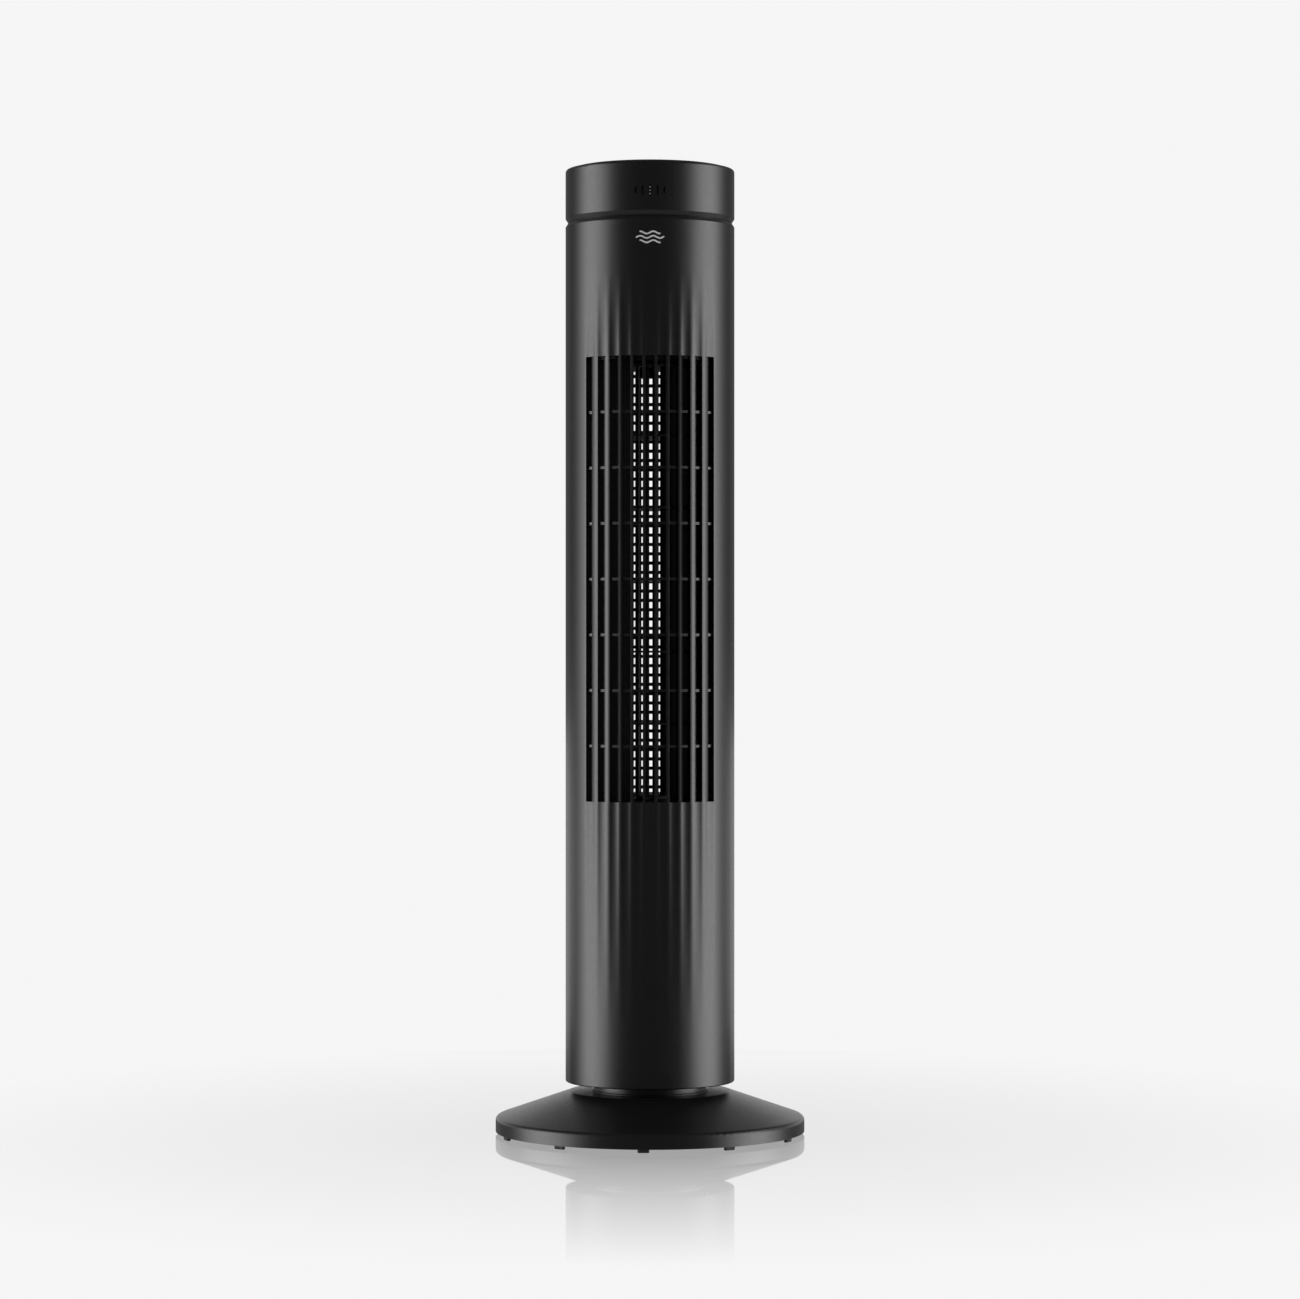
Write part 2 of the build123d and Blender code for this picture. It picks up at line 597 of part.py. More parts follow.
with BuildPart() as duct_floor_plate:
    extrude(duct_plate_sketch(DUCT_FLOOR_TOP - DUCT_PLATE), amount=DUCT_PLATE)
    with BuildSketch(Plane.XY.offset(STATOR_TOP + 2)) as motor_bosses:
        with Locations(*motor_bolts):
            Circle(4.5)
    extrude(motor_bosses.sketch, amount=DUCT_FLOOR_TOP - DUCT_PLATE - STATOR_TOP - 2)
    with BuildSketch(Plane.XY.offset(STATOR_TOP + 2)) as motor_pilots:
        with Locations(*motor_bolts):
            Circle(2.05)
    extrude(motor_pilots.sketch, amount=14, mode=Mode.SUBTRACT)
    with BuildSketch(Plane.XY.offset(DUCT_FLOOR_TOP)) as hub_hole:
        with Locations(IMPELLER_AXIS):
            Circle(12)
    extrude(hub_hole.sketch, amount=-DUCT_PLATE, mode=Mode.SUBTRACT)
duct_floor_plate.part.label = "duct_floor_plate"
export_step(duct_floor_plate.part, "parts/duct_floor_plate.step")

with BuildPart() as duct_top_plate:
    extrude(duct_plate_sketch(DUCT_CEILING), amount=DUCT_PLATE)
    with BuildSketch(Plane.XY.offset(DUCT_CEILING)) as bearing_hole:
        with Locations(IMPELLER_AXIS):
            Circle(11)
    extrude(bearing_hole.sketch, amount=DUCT_PLATE, mode=Mode.SUBTRACT)
duct_top_plate.part.label = "duct_top_plate"
export_step(duct_top_plate.part, "parts/duct_top_plate.step")

with BuildPart() as volute_wall:
    with BuildSketch(Plane.XY.offset(DUCT_FLOOR_TOP)):
        with BuildLine():
            ThreePointArc((16.8, 40.5), (47.2, 16.7), (50.6, -35.3))
        trace(line_width=DUCT_WALL)
    extrude(amount=duct_height)
volute_wall.part.label = "volute_wall"
export_step(volute_wall.part, "parts/volute_wall.step")

# the tongue parts the intake from the outlet: diffuser wall, tip, and a back leg round the impeller
TONGUE_RADIUS = IMPELLER_RADIUS + 3.5
TONGUE_TIP_TURN = 245.0
TONGUE_BACK_TURN = 190.0


def round_impeller(turn):
    """A point on the tongue's arc round the impeller axis."""
    angle = math.radians(turn)
    return (IMPELLER_X + TONGUE_RADIUS * math.cos(angle), IMPELLER_Y + TONGUE_RADIUS * math.sin(angle))


with BuildPart() as duct_tongue:
    with BuildSketch(Plane.XY.offset(DUCT_FLOOR_TOP)) as tongue_section:
        with BuildLine():
            tip = round_impeller(TONGUE_TIP_TURN)
            back = round_impeller(TONGUE_BACK_TURN)
            Line((-50.6, -34.4), tip)
            ThreePointArc(tip, round_impeller((TONGUE_TIP_TURN + TONGUE_BACK_TURN) / 2), back)
            Line(back, (-70, back[1] + 3))
        trace(line_width=DUCT_WALL)
        Circle(TOWER_INSIDE - CASE_FIT / 2, mode=Mode.INTERSECT)
    extrude(amount=duct_height)
duct_tongue.part.label = "duct_tongue"
export_step(duct_tongue.part, "parts/duct_tongue.step")

# ---------------------------------------------------------------- impeller
BLADE_INNER = 28.0
BLADE_LAG = 3.1
BLADE_LEAD = 2.5
IMPELLER_TOP = IMPELLER_BOTTOM + SEGMENT_COUNT * SEGMENT_HEIGHT


def blade_point(radius, turn):
    """A point on a blade's middle line, about the impeller axis."""
    return (radius * math.cos(math.radians(turn)), radius * math.sin(math.radians(turn)))


with BuildSketch() as blade_section:
    with BuildLine():
        ThreePointArc(
            blade_point(BLADE_INNER, 90 - BLADE_LAG),
            blade_point((BLADE_INNER + IMPELLER_RADIUS) / 2, 90 - 0.35 * BLADE_LAG),
            blade_point(IMPELLER_RADIUS - 0.6, 90 + BLADE_LEAD),
        )
    trace(line_width=BLADE_THICKNESS)
with BuildSketch() as blade_ring:
    with Locations(IMPELLER_AXIS):
        with PolarLocations(0, BLADE_COUNT):
            add(blade_section.sketch)

for number in range(1, SEGMENT_COUNT + 1):
    bottom = IMPELLER_BOTTOM + (number - 1) * SEGMENT_HEIGHT
    with BuildPart() as impeller_segment:
        with BuildSketch(Plane.XY.offset(bottom)) as disc:
            with Locations(IMPELLER_AXIS):
                Circle(IMPELLER_RADIUS)
        extrude(disc.sketch, amount=SEGMENT_DISC)
        blade_height = SEGMENT_HEIGHT - SEGMENT_DISC
        if number == SEGMENT_COUNT:
            blade_height -= SEGMENT_DISC
        blades = Plane.XY.offset(bottom + SEGMENT_DISC) * blade_ring.sketch_local
        extrude(blades, amount=blade_height)
    impeller_segment.part.label = f"impeller_segment_{number}"
    export_step(impeller_segment.part, f"parts/impeller_segment_{number}.step")

with BuildPart() as impeller_end_cap:
    with BuildSketch(Plane.XY.offset(IMPELLER_TOP)) as cap_disc:
        with Locations(IMPELLER_AXIS):
            Circle(IMPELLER_RADIUS)
    extrude(cap_disc.sketch, amount=-SEGMENT_DISC)
    with BuildSketch(Plane.XY.offset(IMPELLER_TOP)) as cap_boss:
        with Locations(IMPELLER_AXIS):
            Circle(7)
    extrude(cap_boss.sketch, amount=-9)
    with BuildSketch(Plane.XY.offset(IMPELLER_TOP)) as cap_bore:
        with Locations(IMPELLER_AXIS):
            Circle(SHAFT_RADIUS + PRESS_FIT)
    extrude(cap_bore.sketch, amount=-9, mode=Mode.SUBTRACT)
impeller_end_cap.part.label = "impeller_end_cap"
export_step(impeller_end_cap.part, "parts/impeller_end_cap.step")

with BuildPart() as upper_stub_shaft:
    with BuildSketch(Plane.XY.offset(IMPELLER_TOP - 9)):
        with Locations(IMPELLER_AXIS):
            Circle(SHAFT_RADIUS)
    extrude(amount=18)
    chamfer(upper_stub_shaft.edges().group_by(Axis.Z)[-1], 0.5)
upper_stub_shaft.part.label = "upper_stub_shaft"
export_step(upper_stub_shaft.part, "parts/upper_stub_shaft.step")

BEARING_RADIUS = 6.0
BEARING_LENGTH = 6.0
BEARING_BOTTOM = IMPELLER_TOP + 1.1

with BuildPart() as bearing_mount:
    with BuildSketch(Plane.XY.offset(BEARING_BOTTOM)):
        with Locations(IMPELLER_AXIS):
            Circle(11 - PRESS_FIT)
    extrude(amount=6.5)
    with BuildSketch(Plane.XY.offset(DUCT_CEILING + DUCT_PLATE)):
        with Locations(IMPELLER_AXIS):
            Circle(14)
    extrude(amount=2)
    with BuildSketch(Plane.XY.offset(BEARING_BOTTOM)):
        with Locations(IMPELLER_AXIS):
            Circle(BEARING_RADIUS + PRESS_FIT)
    extrude(amount=8, mode=Mode.SUBTRACT)
bearing_mount.part.label = "bearing_mount"
export_step(bearing_mount.part, "parts/bearing_mount.step")

HUB_BOTTOM = 252.0
GRUB_Z = 256.5

with BuildPart() as impeller_hub:
    with BuildSketch(Plane.XY.offset(HUB_BOTTOM)):
        with Locations(IMPELLER_AXIS):
            Circle(9)
            Circle(SHAFT_RADIUS + PRESS_FIT, mode=Mode.SUBTRACT)
    extrude(amount=IMPELLER_BOTTOM - HUB_BOTTOM)
    with BuildSketch(Plane.XZ.offset(-IMPELLER_Y)):
        with Locations((IMPELLER_X, GRUB_Z)):
            Circle(2.0)
    extrude(amount=10, mode=Mode.SUBTRACT)
impeller_hub.part.label = "impeller_hub"
export_step(impeller_hub.part, "parts/impeller_hub.step")

with BuildPart() as hub_grub_screw:
    with BuildSketch(Plane.XZ.offset(SHAFT_RADIUS - IMPELLER_Y)):
        with Locations((IMPELLER_X, GRUB_Z)):
            Circle(1.95)
    extrude(amount=5)
    with BuildSketch(Plane.XZ.offset(SHAFT_RADIUS + 5 - IMPELLER_Y)):
        with Locations((IMPELLER_X, GRUB_Z)):
            RegularPolygon(radius=1.1, side_count=6)
    extrude(amount=-2, mode=Mode.SUBTRACT)
hub_grub_screw.part.label = "hub_grub_screw"
export_step(hub_grub_screw.part, "parts/hub_grub_screw.step")

# ---------------------------------------------------------------- fan motor
BELL_FLANGE = 2.0
BELL_RADIUS = 29.0
BELL_INSIDE = 27.2
BELL_DEPTH = 11.0
ROTOR_RADIUS = 15.5
STATOR_BORE = 16.0
motor_corner_radius = 6.0


def motor_square(height, bore):
    """The motor's square outline with its bolt holes and a round bore."""
    with BuildSketch(Plane.XY.offset(height)) as square:
        with Locations(IMPELLER_AXIS):
            RectangleRounded(STATOR_WIDTH, STATOR_WIDTH, motor_corner_radius)
            Circle(bore, mode=Mode.SUBTRACT)
        with Locations(*motor_bolts):
            Circle(2.2, mode=Mode.SUBTRACT)
    return square.sketch


def round_sketch(height, outer, inner=0.0):
    """A disc or ring on the impeller axis."""
    with BuildSketch(Plane.XY.offset(height)) as ring:
        with Locations(IMPELLER_AXIS):
            Circle(outer)
            if inner:
                Circle(inner, mode=Mode.SUBTRACT)
    return ring.sketch


def end_bell(flange, way):
    """An end bell whose flange lies on the stator; way is 1 above the stator, -1 below."""
    top = flange + way * BELL_DEPTH
    with BuildPart() as bell:
        extrude(motor_square(flange, BELL_INSIDE), amount=way * BELL_FLANGE)
        extrude(round_sketch(flange, BELL_RADIUS, BELL_INSIDE), amount=way * BELL_DEPTH)
        extrude(round_sketch(top, BELL_RADIUS, BEARING_RADIUS + PRESS_FIT), amount=way * 2)
        extrude(round_sketch(top, 9, BEARING_RADIUS + PRESS_FIT), amount=way * 7)
        with BuildSketch(Plane.XY.offset(top)) as vents:
            with Locations(IMPELLER_AXIS):
                with PolarLocations(18, 8):
                    Circle(2.6)
        extrude(vents.sketch, amount=way * 2, mode=Mode.SUBTRACT)
    return bell.part


with BuildPart() as motor_stator:
    extrude(motor_square(STATOR_BOTTOM, STATOR_BORE), amount=STATOR_TOP - STATOR_BOTTOM)
motor_stator.part.label = "motor_stator"
export_step(motor_stator.part, "parts/motor_stator.step")

with BuildPart() as motor_windings:
    for start, way in ((STATOR_TOP, 1), (STATOR_BOTTOM, -1)):
        extrude(round_sketch(start, 26, 17.5), amount=way * 8)
    fillet(motor_windings.edges().filter_by(GeomType.CIRCLE), 1.8)
motor_windings.part.label = "motor_windings"
export_step(motor_windings.part, "parts/motor_windings.step")

with BuildPart() as motor_end_bells:
    add(end_bell(STATOR_TOP, 1))
    add(end_bell(STATOR_BOTTOM, -1))
motor_end_bells.part.label = "motor_end_bells"
export_step(motor_end_bells.part, "parts/motor_end_bells.step")

bearing_starts = (
    STATOR_BOTTOM - BELL_DEPTH - BEARING_LENGTH,
    STATOR_TOP + BELL_DEPTH,
    BEARING_BOTTOM,
)
with BuildPart() as shaft_bearings:
    for start in bearing_starts:
        extrude(round_sketch(start, BEARING_RADIUS, SHAFT_RADIUS + SHAFT_FIT), amount=BEARING_LENGTH)
shaft_bearings.part.label = "shaft_bearings"
export_step(shaft_bearings.part, "parts/shaft_bearings.step")

with BuildPart() as motor_rotor:
    extrude(
        round_sketch(STATOR_BOTTOM, ROTOR_RADIUS, SHAFT_RADIUS + PRESS_FIT),
        amount=STATOR_TOP - STATOR_BOTTOM,
    )
motor_rotor.part.label = "motor_rotor"
export_step(motor_rotor.part, "parts/motor_rotor.step")

SHAFT_BOTTOM = STATOR_BOTTOM - BELL_DEPTH - BEARING_LENGTH - 1.5
SHAFT_TOP = 264.0
with BuildPart() as motor_shaft:
    extrude(round_sketch(SHAFT_BOTTOM, SHAFT_RADIUS), amount=SHAFT_TOP - SHAFT_BOTTOM)
    chamfer(motor_shaft.edges().filter_by(GeomType.CIRCLE), 0.5)
motor_shaft.part.label = "motor_shaft"
export_step(motor_shaft.part, "parts/motor_shaft.step")

motor_screws = screw_group(motor_bolts, STATOR_BOTTOM - BELL_FLANGE, 2.0, 38)
motor_screws.label = "motor_screws"
export_step(motor_screws, "parts/motor_screws.step")

with BuildPart() as run_capacitor:
    with BuildSketch(Plane.XY.offset(FLOOR_TOP)):
        with Locations((0, -38)):
            RectangleRounded(37, 15, 2)
    extrude(amount=26)
    fillet(run_capacitor.edges().group_by(Axis.Z)[-1], 1)
    with BuildSketch(Plane.XY.offset(FLOOR_TOP + 26)):
        with Locations((-6, -38), (6, -38)):
            Rectangle(0.8, 6.3)
    extrude(amount=8)
run_capacitor.part.label = "run_capacitor"
export_step(run_capacitor.part, "parts/run_capacitor.step")

# ---------------------------------------------------------------- swing drive
SWING_EARS = [(-30, CRANK_Y), (30, CRANK_Y)]
CRANK_AXIS = (0, CRANK_Y)

with BuildPart() as swing_motor_bracket:
    with BuildSketch(Plane.XY.offset(BRACKET_BOTTOM)):
        with Locations((0, BRACKET_POSTS[0][1])):
            Rectangle(112, 12)
        with Locations(CRANK_AXIS):
            Circle(27)
            Rectangle(70, 20)
            Circle(6, mode=Mode.SUBTRACT)
        with Locations(*SWING_EARS):
            Circle(1.55, mode=Mode.SUBTRACT)
        with Locations(*BRACKET_POSTS):
            Circle(1.8, mode=Mode.SUBTRACT)
    extrude(amount=BRACKET_TOP - BRACKET_BOTTOM)
swing_motor_bracket.part.label = "swing_motor_bracket"
export_step(swing_motor_bracket.part, "parts/swing_motor_bracket.step")

with BuildPart() as swing_motor:
    with BuildSketch(Plane.XY.offset(BRACKET_TOP)):
        with Locations(CRANK_AXIS):
            Circle(25)
    extrude(amount=18)
    fillet(swing_motor.edges().group_by(Axis.Z)[-1], 1.5)
    with BuildSketch(Plane.XY.offset(BRACKET_TOP)):
        with Locations(CRANK_AXIS):
            SlotOverall(70, 11)
        with Locations(*SWING_EARS):
            Circle(1.8, mode=Mode.SUBTRACT)
    extrude(amount=1)
    with BuildSketch(Plane.XY.offset(BRACKET_TOP)):
        with Locations(CRANK_AXIS):
            Circle(SHAFT_RADIUS + SHAFT_FIT)
    extrude(amount=10, mode=Mode.SUBTRACT)
swing_motor.part.label = "swing_motor"
export_step(swing_motor.part, "parts/swing_motor.step")

with BuildPart() as swing_drive_screws:
    add(screw_group(BRACKET_POSTS, BRACKET_TOP, 1.5, 8, up=-1))
    add(screw_group(SWING_EARS, BRACKET_TOP + 1, 1.5, 8, up=-1))
swing_drive_screws.part.label = "swing_drive_screws"
export_step(swing_drive_screws.part, "parts/swing_drive_screws.step")

with BuildPart() as swing_crank:
    with BuildSketch(Plane.XY.offset(CRANK_BOTTOM)):
        with Locations(CRANK_AXIS):
            Circle(CRANK_THROW + CRANK_PIN_RADIUS + 1.5)
            Circle(SHAFT_RADIUS + PRESS_FIT, mode=Mode.SUBTRACT)
    extrude(amount=CRANK_TOP - CRANK_BOTTOM)
    with BuildSketch(Plane.XY.offset(CRANK_BOTTOM)):
        with Locations((0, CRANK_Y + CRANK_THROW)):
            Circle(CRANK_PIN_RADIUS)
    extrude(amount=-(CRANK_BOTTOM - POST_TOP - 0.3))
swing_crank.part.label = "swing_crank"
export_step(swing_crank.part, "parts/swing_crank.step")

with BuildPart() as swing_motor_shaft:
    with BuildSketch(Plane.XY.offset(CRANK_BOTTOM)):
        with Locations(CRANK_AXIS):
            Circle(SHAFT_RADIUS)
            Circle(1.25, mode=Mode.SUBTRACT)
    extrude(amount=16)
swing_motor_shaft.part.label = "swing_motor_shaft"
export_step(swing_motor_shaft.part, "parts/swing_motor_shaft.step")

crank_screw = screw_group([CRANK_AXIS], CRANK_BOTTOM, 1.2, 9)
crank_screw.label = "crank_screw"
export_step(crank_screw, "parts/crank_screw.step")

# ---------------------------------------------------------------- head
HEAD_SLOT_Z = 735.0
HEAD_SLOTS = ((0.0, 9.5), (5.9, 7.6), (11.06, 4.8))
HEAD_SLOT_WIDTH = 1.4
BOARD_POSTS = [(sx * 31, sy * 31) for sx, sy in diagonals]

with BuildPart() as head_ring:
    with BuildSketch(Plane.XZ) as head_section:
        with BuildLine():
            Polyline(
                (16, HEAD_BOTTOM),
                (TOWER_RADIUS - GROOVE_DEPTH, HEAD_BOTTOM),
                (TOWER_RADIUS, HEAD_BOTTOM + GROOVE_HALF),
                (TOWER_RADIUS, HEAD_TOP),
                (PANEL_RADIUS + 0.4, HEAD_TOP),
                (PANEL_RADIUS + 0.4, PANEL_BOTTOM),
                (PANEL_RADIUS - 2, PANEL_BOTTOM),
                (PANEL_RADIUS - 2, PANEL_BOTTOM - 2),
                (HEAD_INSIDE, PANEL_BOTTOM - 2 - (HEAD_INSIDE - PANEL_RADIUS + 2)),
                (HEAD_INSIDE, HEAD_FLOOR_TOP),
                (16, HEAD_FLOOR_TOP),
                close=True,
            )
        make_face()
        fillet(head_section.vertices().group_by(Axis.X)[-1].sort_by(Axis.Y)[-1], 2.3)
    revolve(axis=Axis.Z)
    # slots in the front for the indicator lights and the room sensor
    with BuildSketch(Plane.XZ.offset(HEAD_INSIDE - 4)):
        for slot_x, slot_length in HEAD_SLOTS:
            for side in (-1, 1):
                with Locations((side * slot_x, HEAD_SLOT_Z)):
                    SlotOverall(slot_length, HEAD_SLOT_WIDTH, rotation=90)
    extrude(amount=10, mode=Mode.SUBTRACT)
    # posts for the circuit board, and holes for the head screws
    with BuildSketch(Plane.XY.offset(HEAD_FLOOR_TOP)):
        with Locations(*BOARD_POSTS):
            Circle(3.5)
    extrude(amount=BOARD_BOTTOM - HEAD_FLOOR_TOP)
    with BuildSketch(Plane.XY.offset(BOARD_BOTTOM)):
        with Locations(*BOARD_POSTS):
            Circle(1.3)
    extrude(amount=-12, mode=Mode.SUBTRACT)
    with BuildSketch(Plane.XY.offset(HEAD_BOTTOM)):
        with Locations(*shell_bosses):
            Circle(1.8)
    extrude(amount=HEAD_FLOOR_TOP - HEAD_BOTTOM, mode=Mode.SUBTRACT)
    # room for the head screws' heads beside the wall
    with BuildSketch(Plane.XY.offset(HEAD_FLOOR_TOP)):
        with Locations(*shell_bosses):
            Circle(3.2)
    extrude(amount=6, mode=Mode.SUBTRACT)
head_ring.part.label = "head_ring"
export_step(head_ring.part, "parts/head_ring.step")

with BuildPart() as case_screws:
    add(screw_group(shell_bosses, FLOOR_BOTTOM, 1.45, 14))
    add(screw_group(shell_bosses, HEAD_FLOOR_TOP, 1.45, 14, up=-1))
case_screws.part.label = "case_screws"
export_step(case_screws.part, "parts/case_screws.step")

INDICATOR_BOARD_Y = -57.5
with BuildPart() as indicator_board:
    with BuildSketch(Plane.XZ.offset(-INDICATOR_BOARD_Y)):
        with Locations((0, HEAD_SLOT_Z - 3)):
            Rectangle(24, 20)
    extrude(amount=-1.2)
indicator_board.part.label = "indicator_board"
export_step(indicator_board.part, "parts/indicator_board.step")

with BuildPart() as indicator_light_pipes:
    with BuildSketch(Plane.XZ.offset(-INDICATOR_BOARD_Y)):
        with Locations((0, HEAD_SLOT_Z)):
            with GridLocations(0, 2.6, 1, 3):
                Circle(0.6)
    extrude(amount=TOWER_RADIUS + INDICATOR_BOARD_Y - 0.6)
indicator_light_pipes.part.label = "indicator_light_pipes"
export_step(indicator_light_pipes.part, "parts/indicator_light_pipes.step")

DISPLAY_POINT = (0, 14)
DISPLAY_LENGTH = 34.0
DISPLAY_WIDTH = 14.0
WINDOW_THICKNESS = 2.0
RECEIVER_POINT = (0, -46)

with BuildPart() as control_panel:
    with BuildSketch(Plane.XY.offset(PANEL_BOTTOM)):
        Circle(PANEL_RADIUS)
    extrude(amount=PANEL_TOP - PANEL_BOTTOM)
    fillet(control_panel.edges().group_by(Axis.Z)[-1], 1.2)
    with BuildSketch(Plane.XY.offset(PANEL_BOTTOM)):
        with Locations(*button_points):
            Circle(BUTTON_RADIUS + 0.25)
        with Locations(DISPLAY_POINT):
            RectangleRounded(DISPLAY_LENGTH + 0.1, DISPLAY_WIDTH + 0.1, 2)
        with Locations(RECEIVER_POINT):
            Circle(2.6)
    extrude(amount=PANEL_TOP - PANEL_BOTTOM, mode=Mode.SUBTRACT)
control_panel.part.label = "control_panel"
export_step(control_panel.part, "parts/control_panel.step")

with BuildPart() as panel_windows:
    with BuildSketch(Plane.XY.offset(PANEL_TOP - 0.1)):
        with Locations(DISPLAY_POINT):
            RectangleRounded(DISPLAY_LENGTH, DISPLAY_WIDTH, 2)
        with Locations(RECEIVER_POINT):
            Circle(2.55)
    extrude(amount=-WINDOW_THICKNESS)
panel_windows.part.label = "panel_windows"
export_step(panel_windows.part, "parts/panel_windows.step")

with BuildPart() as control_board:
    with BuildSketch(Plane.XY.offset(BOARD_BOTTOM)):
        Circle(50)
        with Locations(*BOARD_POSTS):
            Circle(1.6, mode=Mode.SUBTRACT)
    extrude(amount=BOARD_TOP - BOARD_BOTTOM)
control_board.part.label = "control_board"
export_step(control_board.part, "parts/control_board.step")

board_screws = screw_group(BOARD_POSTS, BOARD_TOP, 1.25, 10, up=-1)
board_screws.label = "board_screws"
export_step(board_screws, "parts/board_screws.step")

SWITCH_BODY = 3.5
PLUNGER_TOP = 751.3
with BuildPart() as tact_switches:
    with BuildSketch(Plane.XY.offset(BOARD_TOP)):
        with Locations(*button_points):
            Rectangle(6, 6)
    extrude(amount=SWITCH_BODY)
    with BuildSketch(Plane.XY.offset(BOARD_TOP + SWITCH_BODY)):
        with Locations(*button_points):
            Circle(1.7)
    extrude(amount=PLUNGER_TOP - BOARD_TOP - SWITCH_BODY)
tact_switches.part.label = "tact_switches"
export_step(tact_switches.part, "parts/tact_switches.step")

with BuildPart() as board_components:
    with BuildSketch(Plane.XY.offset(BOARD_TOP)):
        with Locations((-20, 32)):
            Circle(6)
    extrude(amount=7)
    with BuildSketch(Plane.XY.offset(BOARD_TOP)):
        with Locations((22, 34), (0, 36)):
            Rectangle(10, 7)
        with Locations(RECEIVER_POINT):
            Rectangle(6, 5)
    extrude(amount=4.5)
    with BuildSketch(Plane.XY.offset(BOARD_TOP)):
        with Locations(DISPLAY_POINT):
            Rectangle(DISPLAY_LENGTH - 4, DISPLAY_WIDTH - 2)
    extrude(amount=PANEL_TOP - 0.2 - WINDOW_THICKNESS - BOARD_TOP)
board_components.part.label = "board_components"
export_step(board_components.part, "parts/board_components.step")

BUTTON_FLANGE = 6.3
for name, button_x in BUTTON_XS.items():
    with BuildPart() as button:
        with BuildSketch(Plane.XY.offset(PANEL_BOTTOM - 1.4)) as flange:
            with Locations((button_x, BUTTON_Y)):
                Circle(BUTTON_FLANGE)
        extrude(flange.sketch, amount=1.2)
        with BuildSketch(Plane.XY.offset(PANEL_BOTTOM - 0.2)) as cap:
            with Locations((button_x, BUTTON_Y)):
                Circle(BUTTON_RADIUS)
        extrude(cap.sketch, amount=BUTTON_TOP - PANEL_BOTTOM + 0.2)
        fillet(button.edges().group_by(Axis.Z)[-1], 0.6)
        with BuildSketch(Plane.XY.offset(PANEL_BOTTOM - 1.4)) as stem:
            with Locations((button_x, BUTTON_Y)):
                Circle(1.6)
        extrude(stem.sketch, amount=-(PANEL_BOTTOM - 1.4 - PLUNGER_TOP - 1.0))
    button.part.label = f"button_{name}"
    export_step(button.part, f"parts/button_{name}.step")
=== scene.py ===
import json
import math

import bmesh
import bpy
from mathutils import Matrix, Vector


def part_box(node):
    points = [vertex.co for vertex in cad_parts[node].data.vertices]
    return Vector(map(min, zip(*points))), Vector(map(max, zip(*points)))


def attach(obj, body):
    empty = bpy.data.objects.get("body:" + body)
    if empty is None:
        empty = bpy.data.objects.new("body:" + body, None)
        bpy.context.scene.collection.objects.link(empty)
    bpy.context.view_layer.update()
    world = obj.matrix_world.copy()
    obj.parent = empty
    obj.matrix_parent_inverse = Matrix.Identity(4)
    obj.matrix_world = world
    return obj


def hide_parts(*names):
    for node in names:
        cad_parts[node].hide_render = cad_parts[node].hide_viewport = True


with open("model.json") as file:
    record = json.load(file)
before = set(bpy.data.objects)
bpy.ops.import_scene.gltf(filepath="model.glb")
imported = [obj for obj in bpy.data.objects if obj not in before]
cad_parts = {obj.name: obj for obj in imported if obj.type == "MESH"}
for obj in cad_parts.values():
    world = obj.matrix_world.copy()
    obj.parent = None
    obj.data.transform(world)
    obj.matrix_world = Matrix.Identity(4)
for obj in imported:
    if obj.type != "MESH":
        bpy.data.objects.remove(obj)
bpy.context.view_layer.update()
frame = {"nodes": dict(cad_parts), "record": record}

# Tower fan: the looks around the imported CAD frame. Lengths are metres, the front faces -Y.
MM = 0.001
SHARP_ANGLE = 35


# ------------------------------------------------------------------ material helpers
class Shader:
    """A small helper around one material's node tree."""

    def __init__(self, name):
        self.material = bpy.data.materials.new(name)
        self.material.use_nodes = True
        self.tree = self.material.node_tree
        self.bsdf = self.tree.nodes["Principled BSDF"]
        self.coords = self.node("ShaderNodeTexCoord").outputs["Object"]

    def node(self, kind, **values):
        made = self.tree.nodes.new(kind)
        for key, value in values.items():
            setattr(made, key, value)
        return made

    def link(self, source, target):
        self.tree.links.new(source, target)

    def noise(self, feature, detail=3.0, stretch=(1, 1, 1)):
        """Noise whose blobs are about feature metres across."""
        mapping = self.node("ShaderNodeMapping")
        mapping.inputs["Scale"].default_value = stretch
        self.link(self.coords, mapping.inputs["Vector"])
        noise = self.node("ShaderNodeTexNoise")
        noise.inputs["Scale"].default_value = 1 / feature
        noise.inputs["Detail"].default_value = detail
        self.link(mapping.outputs["Vector"], noise.inputs["Vector"])
        return noise.outputs["Fac"]

    def ramp(self, factor, low, high, start=0.3, end=0.7):
        """A ramp between two colours."""
        ramp = self.node("ShaderNodeValToRGB")
        ramp.color_ramp.elements[0].position = start
        ramp.color_ramp.elements[1].position = end
        ramp.color_ramp.elements[0].color = (*low, 1)
        ramp.color_ramp.elements[1].color = (*high, 1)
        self.link(factor, ramp.inputs["Fac"])
        return ramp.outputs["Color"]

    def between(self, factor, low, high):
        """A factor spread over the values from low to high."""
        spread = self.node("ShaderNodeMapRange")
        spread.inputs["From Min"].default_value = 0.3
        spread.inputs["From Max"].default_value = 0.7
        spread.inputs["To Min"].default_value = low
        spread.inputs["To Max"].default_value = high
        self.link(factor, spread.inputs["Value"])
        return spread.outputs["Result"]

    def bump(self, height, distance, strength=1.0, below=None):
        """A bump of about distance metres, laid over an earlier one."""
        bump = self.node("ShaderNodeBump")
        bump.inputs["Strength"].default_value = strength
        bump.inputs["Distance"].default_value = distance
        self.link(height, bump.inputs["Height"])
        if below is not None:
            self.link(below, bump.inputs["Normal"])
        return bump.outputs["Normal"]

    def set(self, **values):
        for key, value in values.items():
            self.bsdf.inputs[key.replace("_", " ")].default_value = value


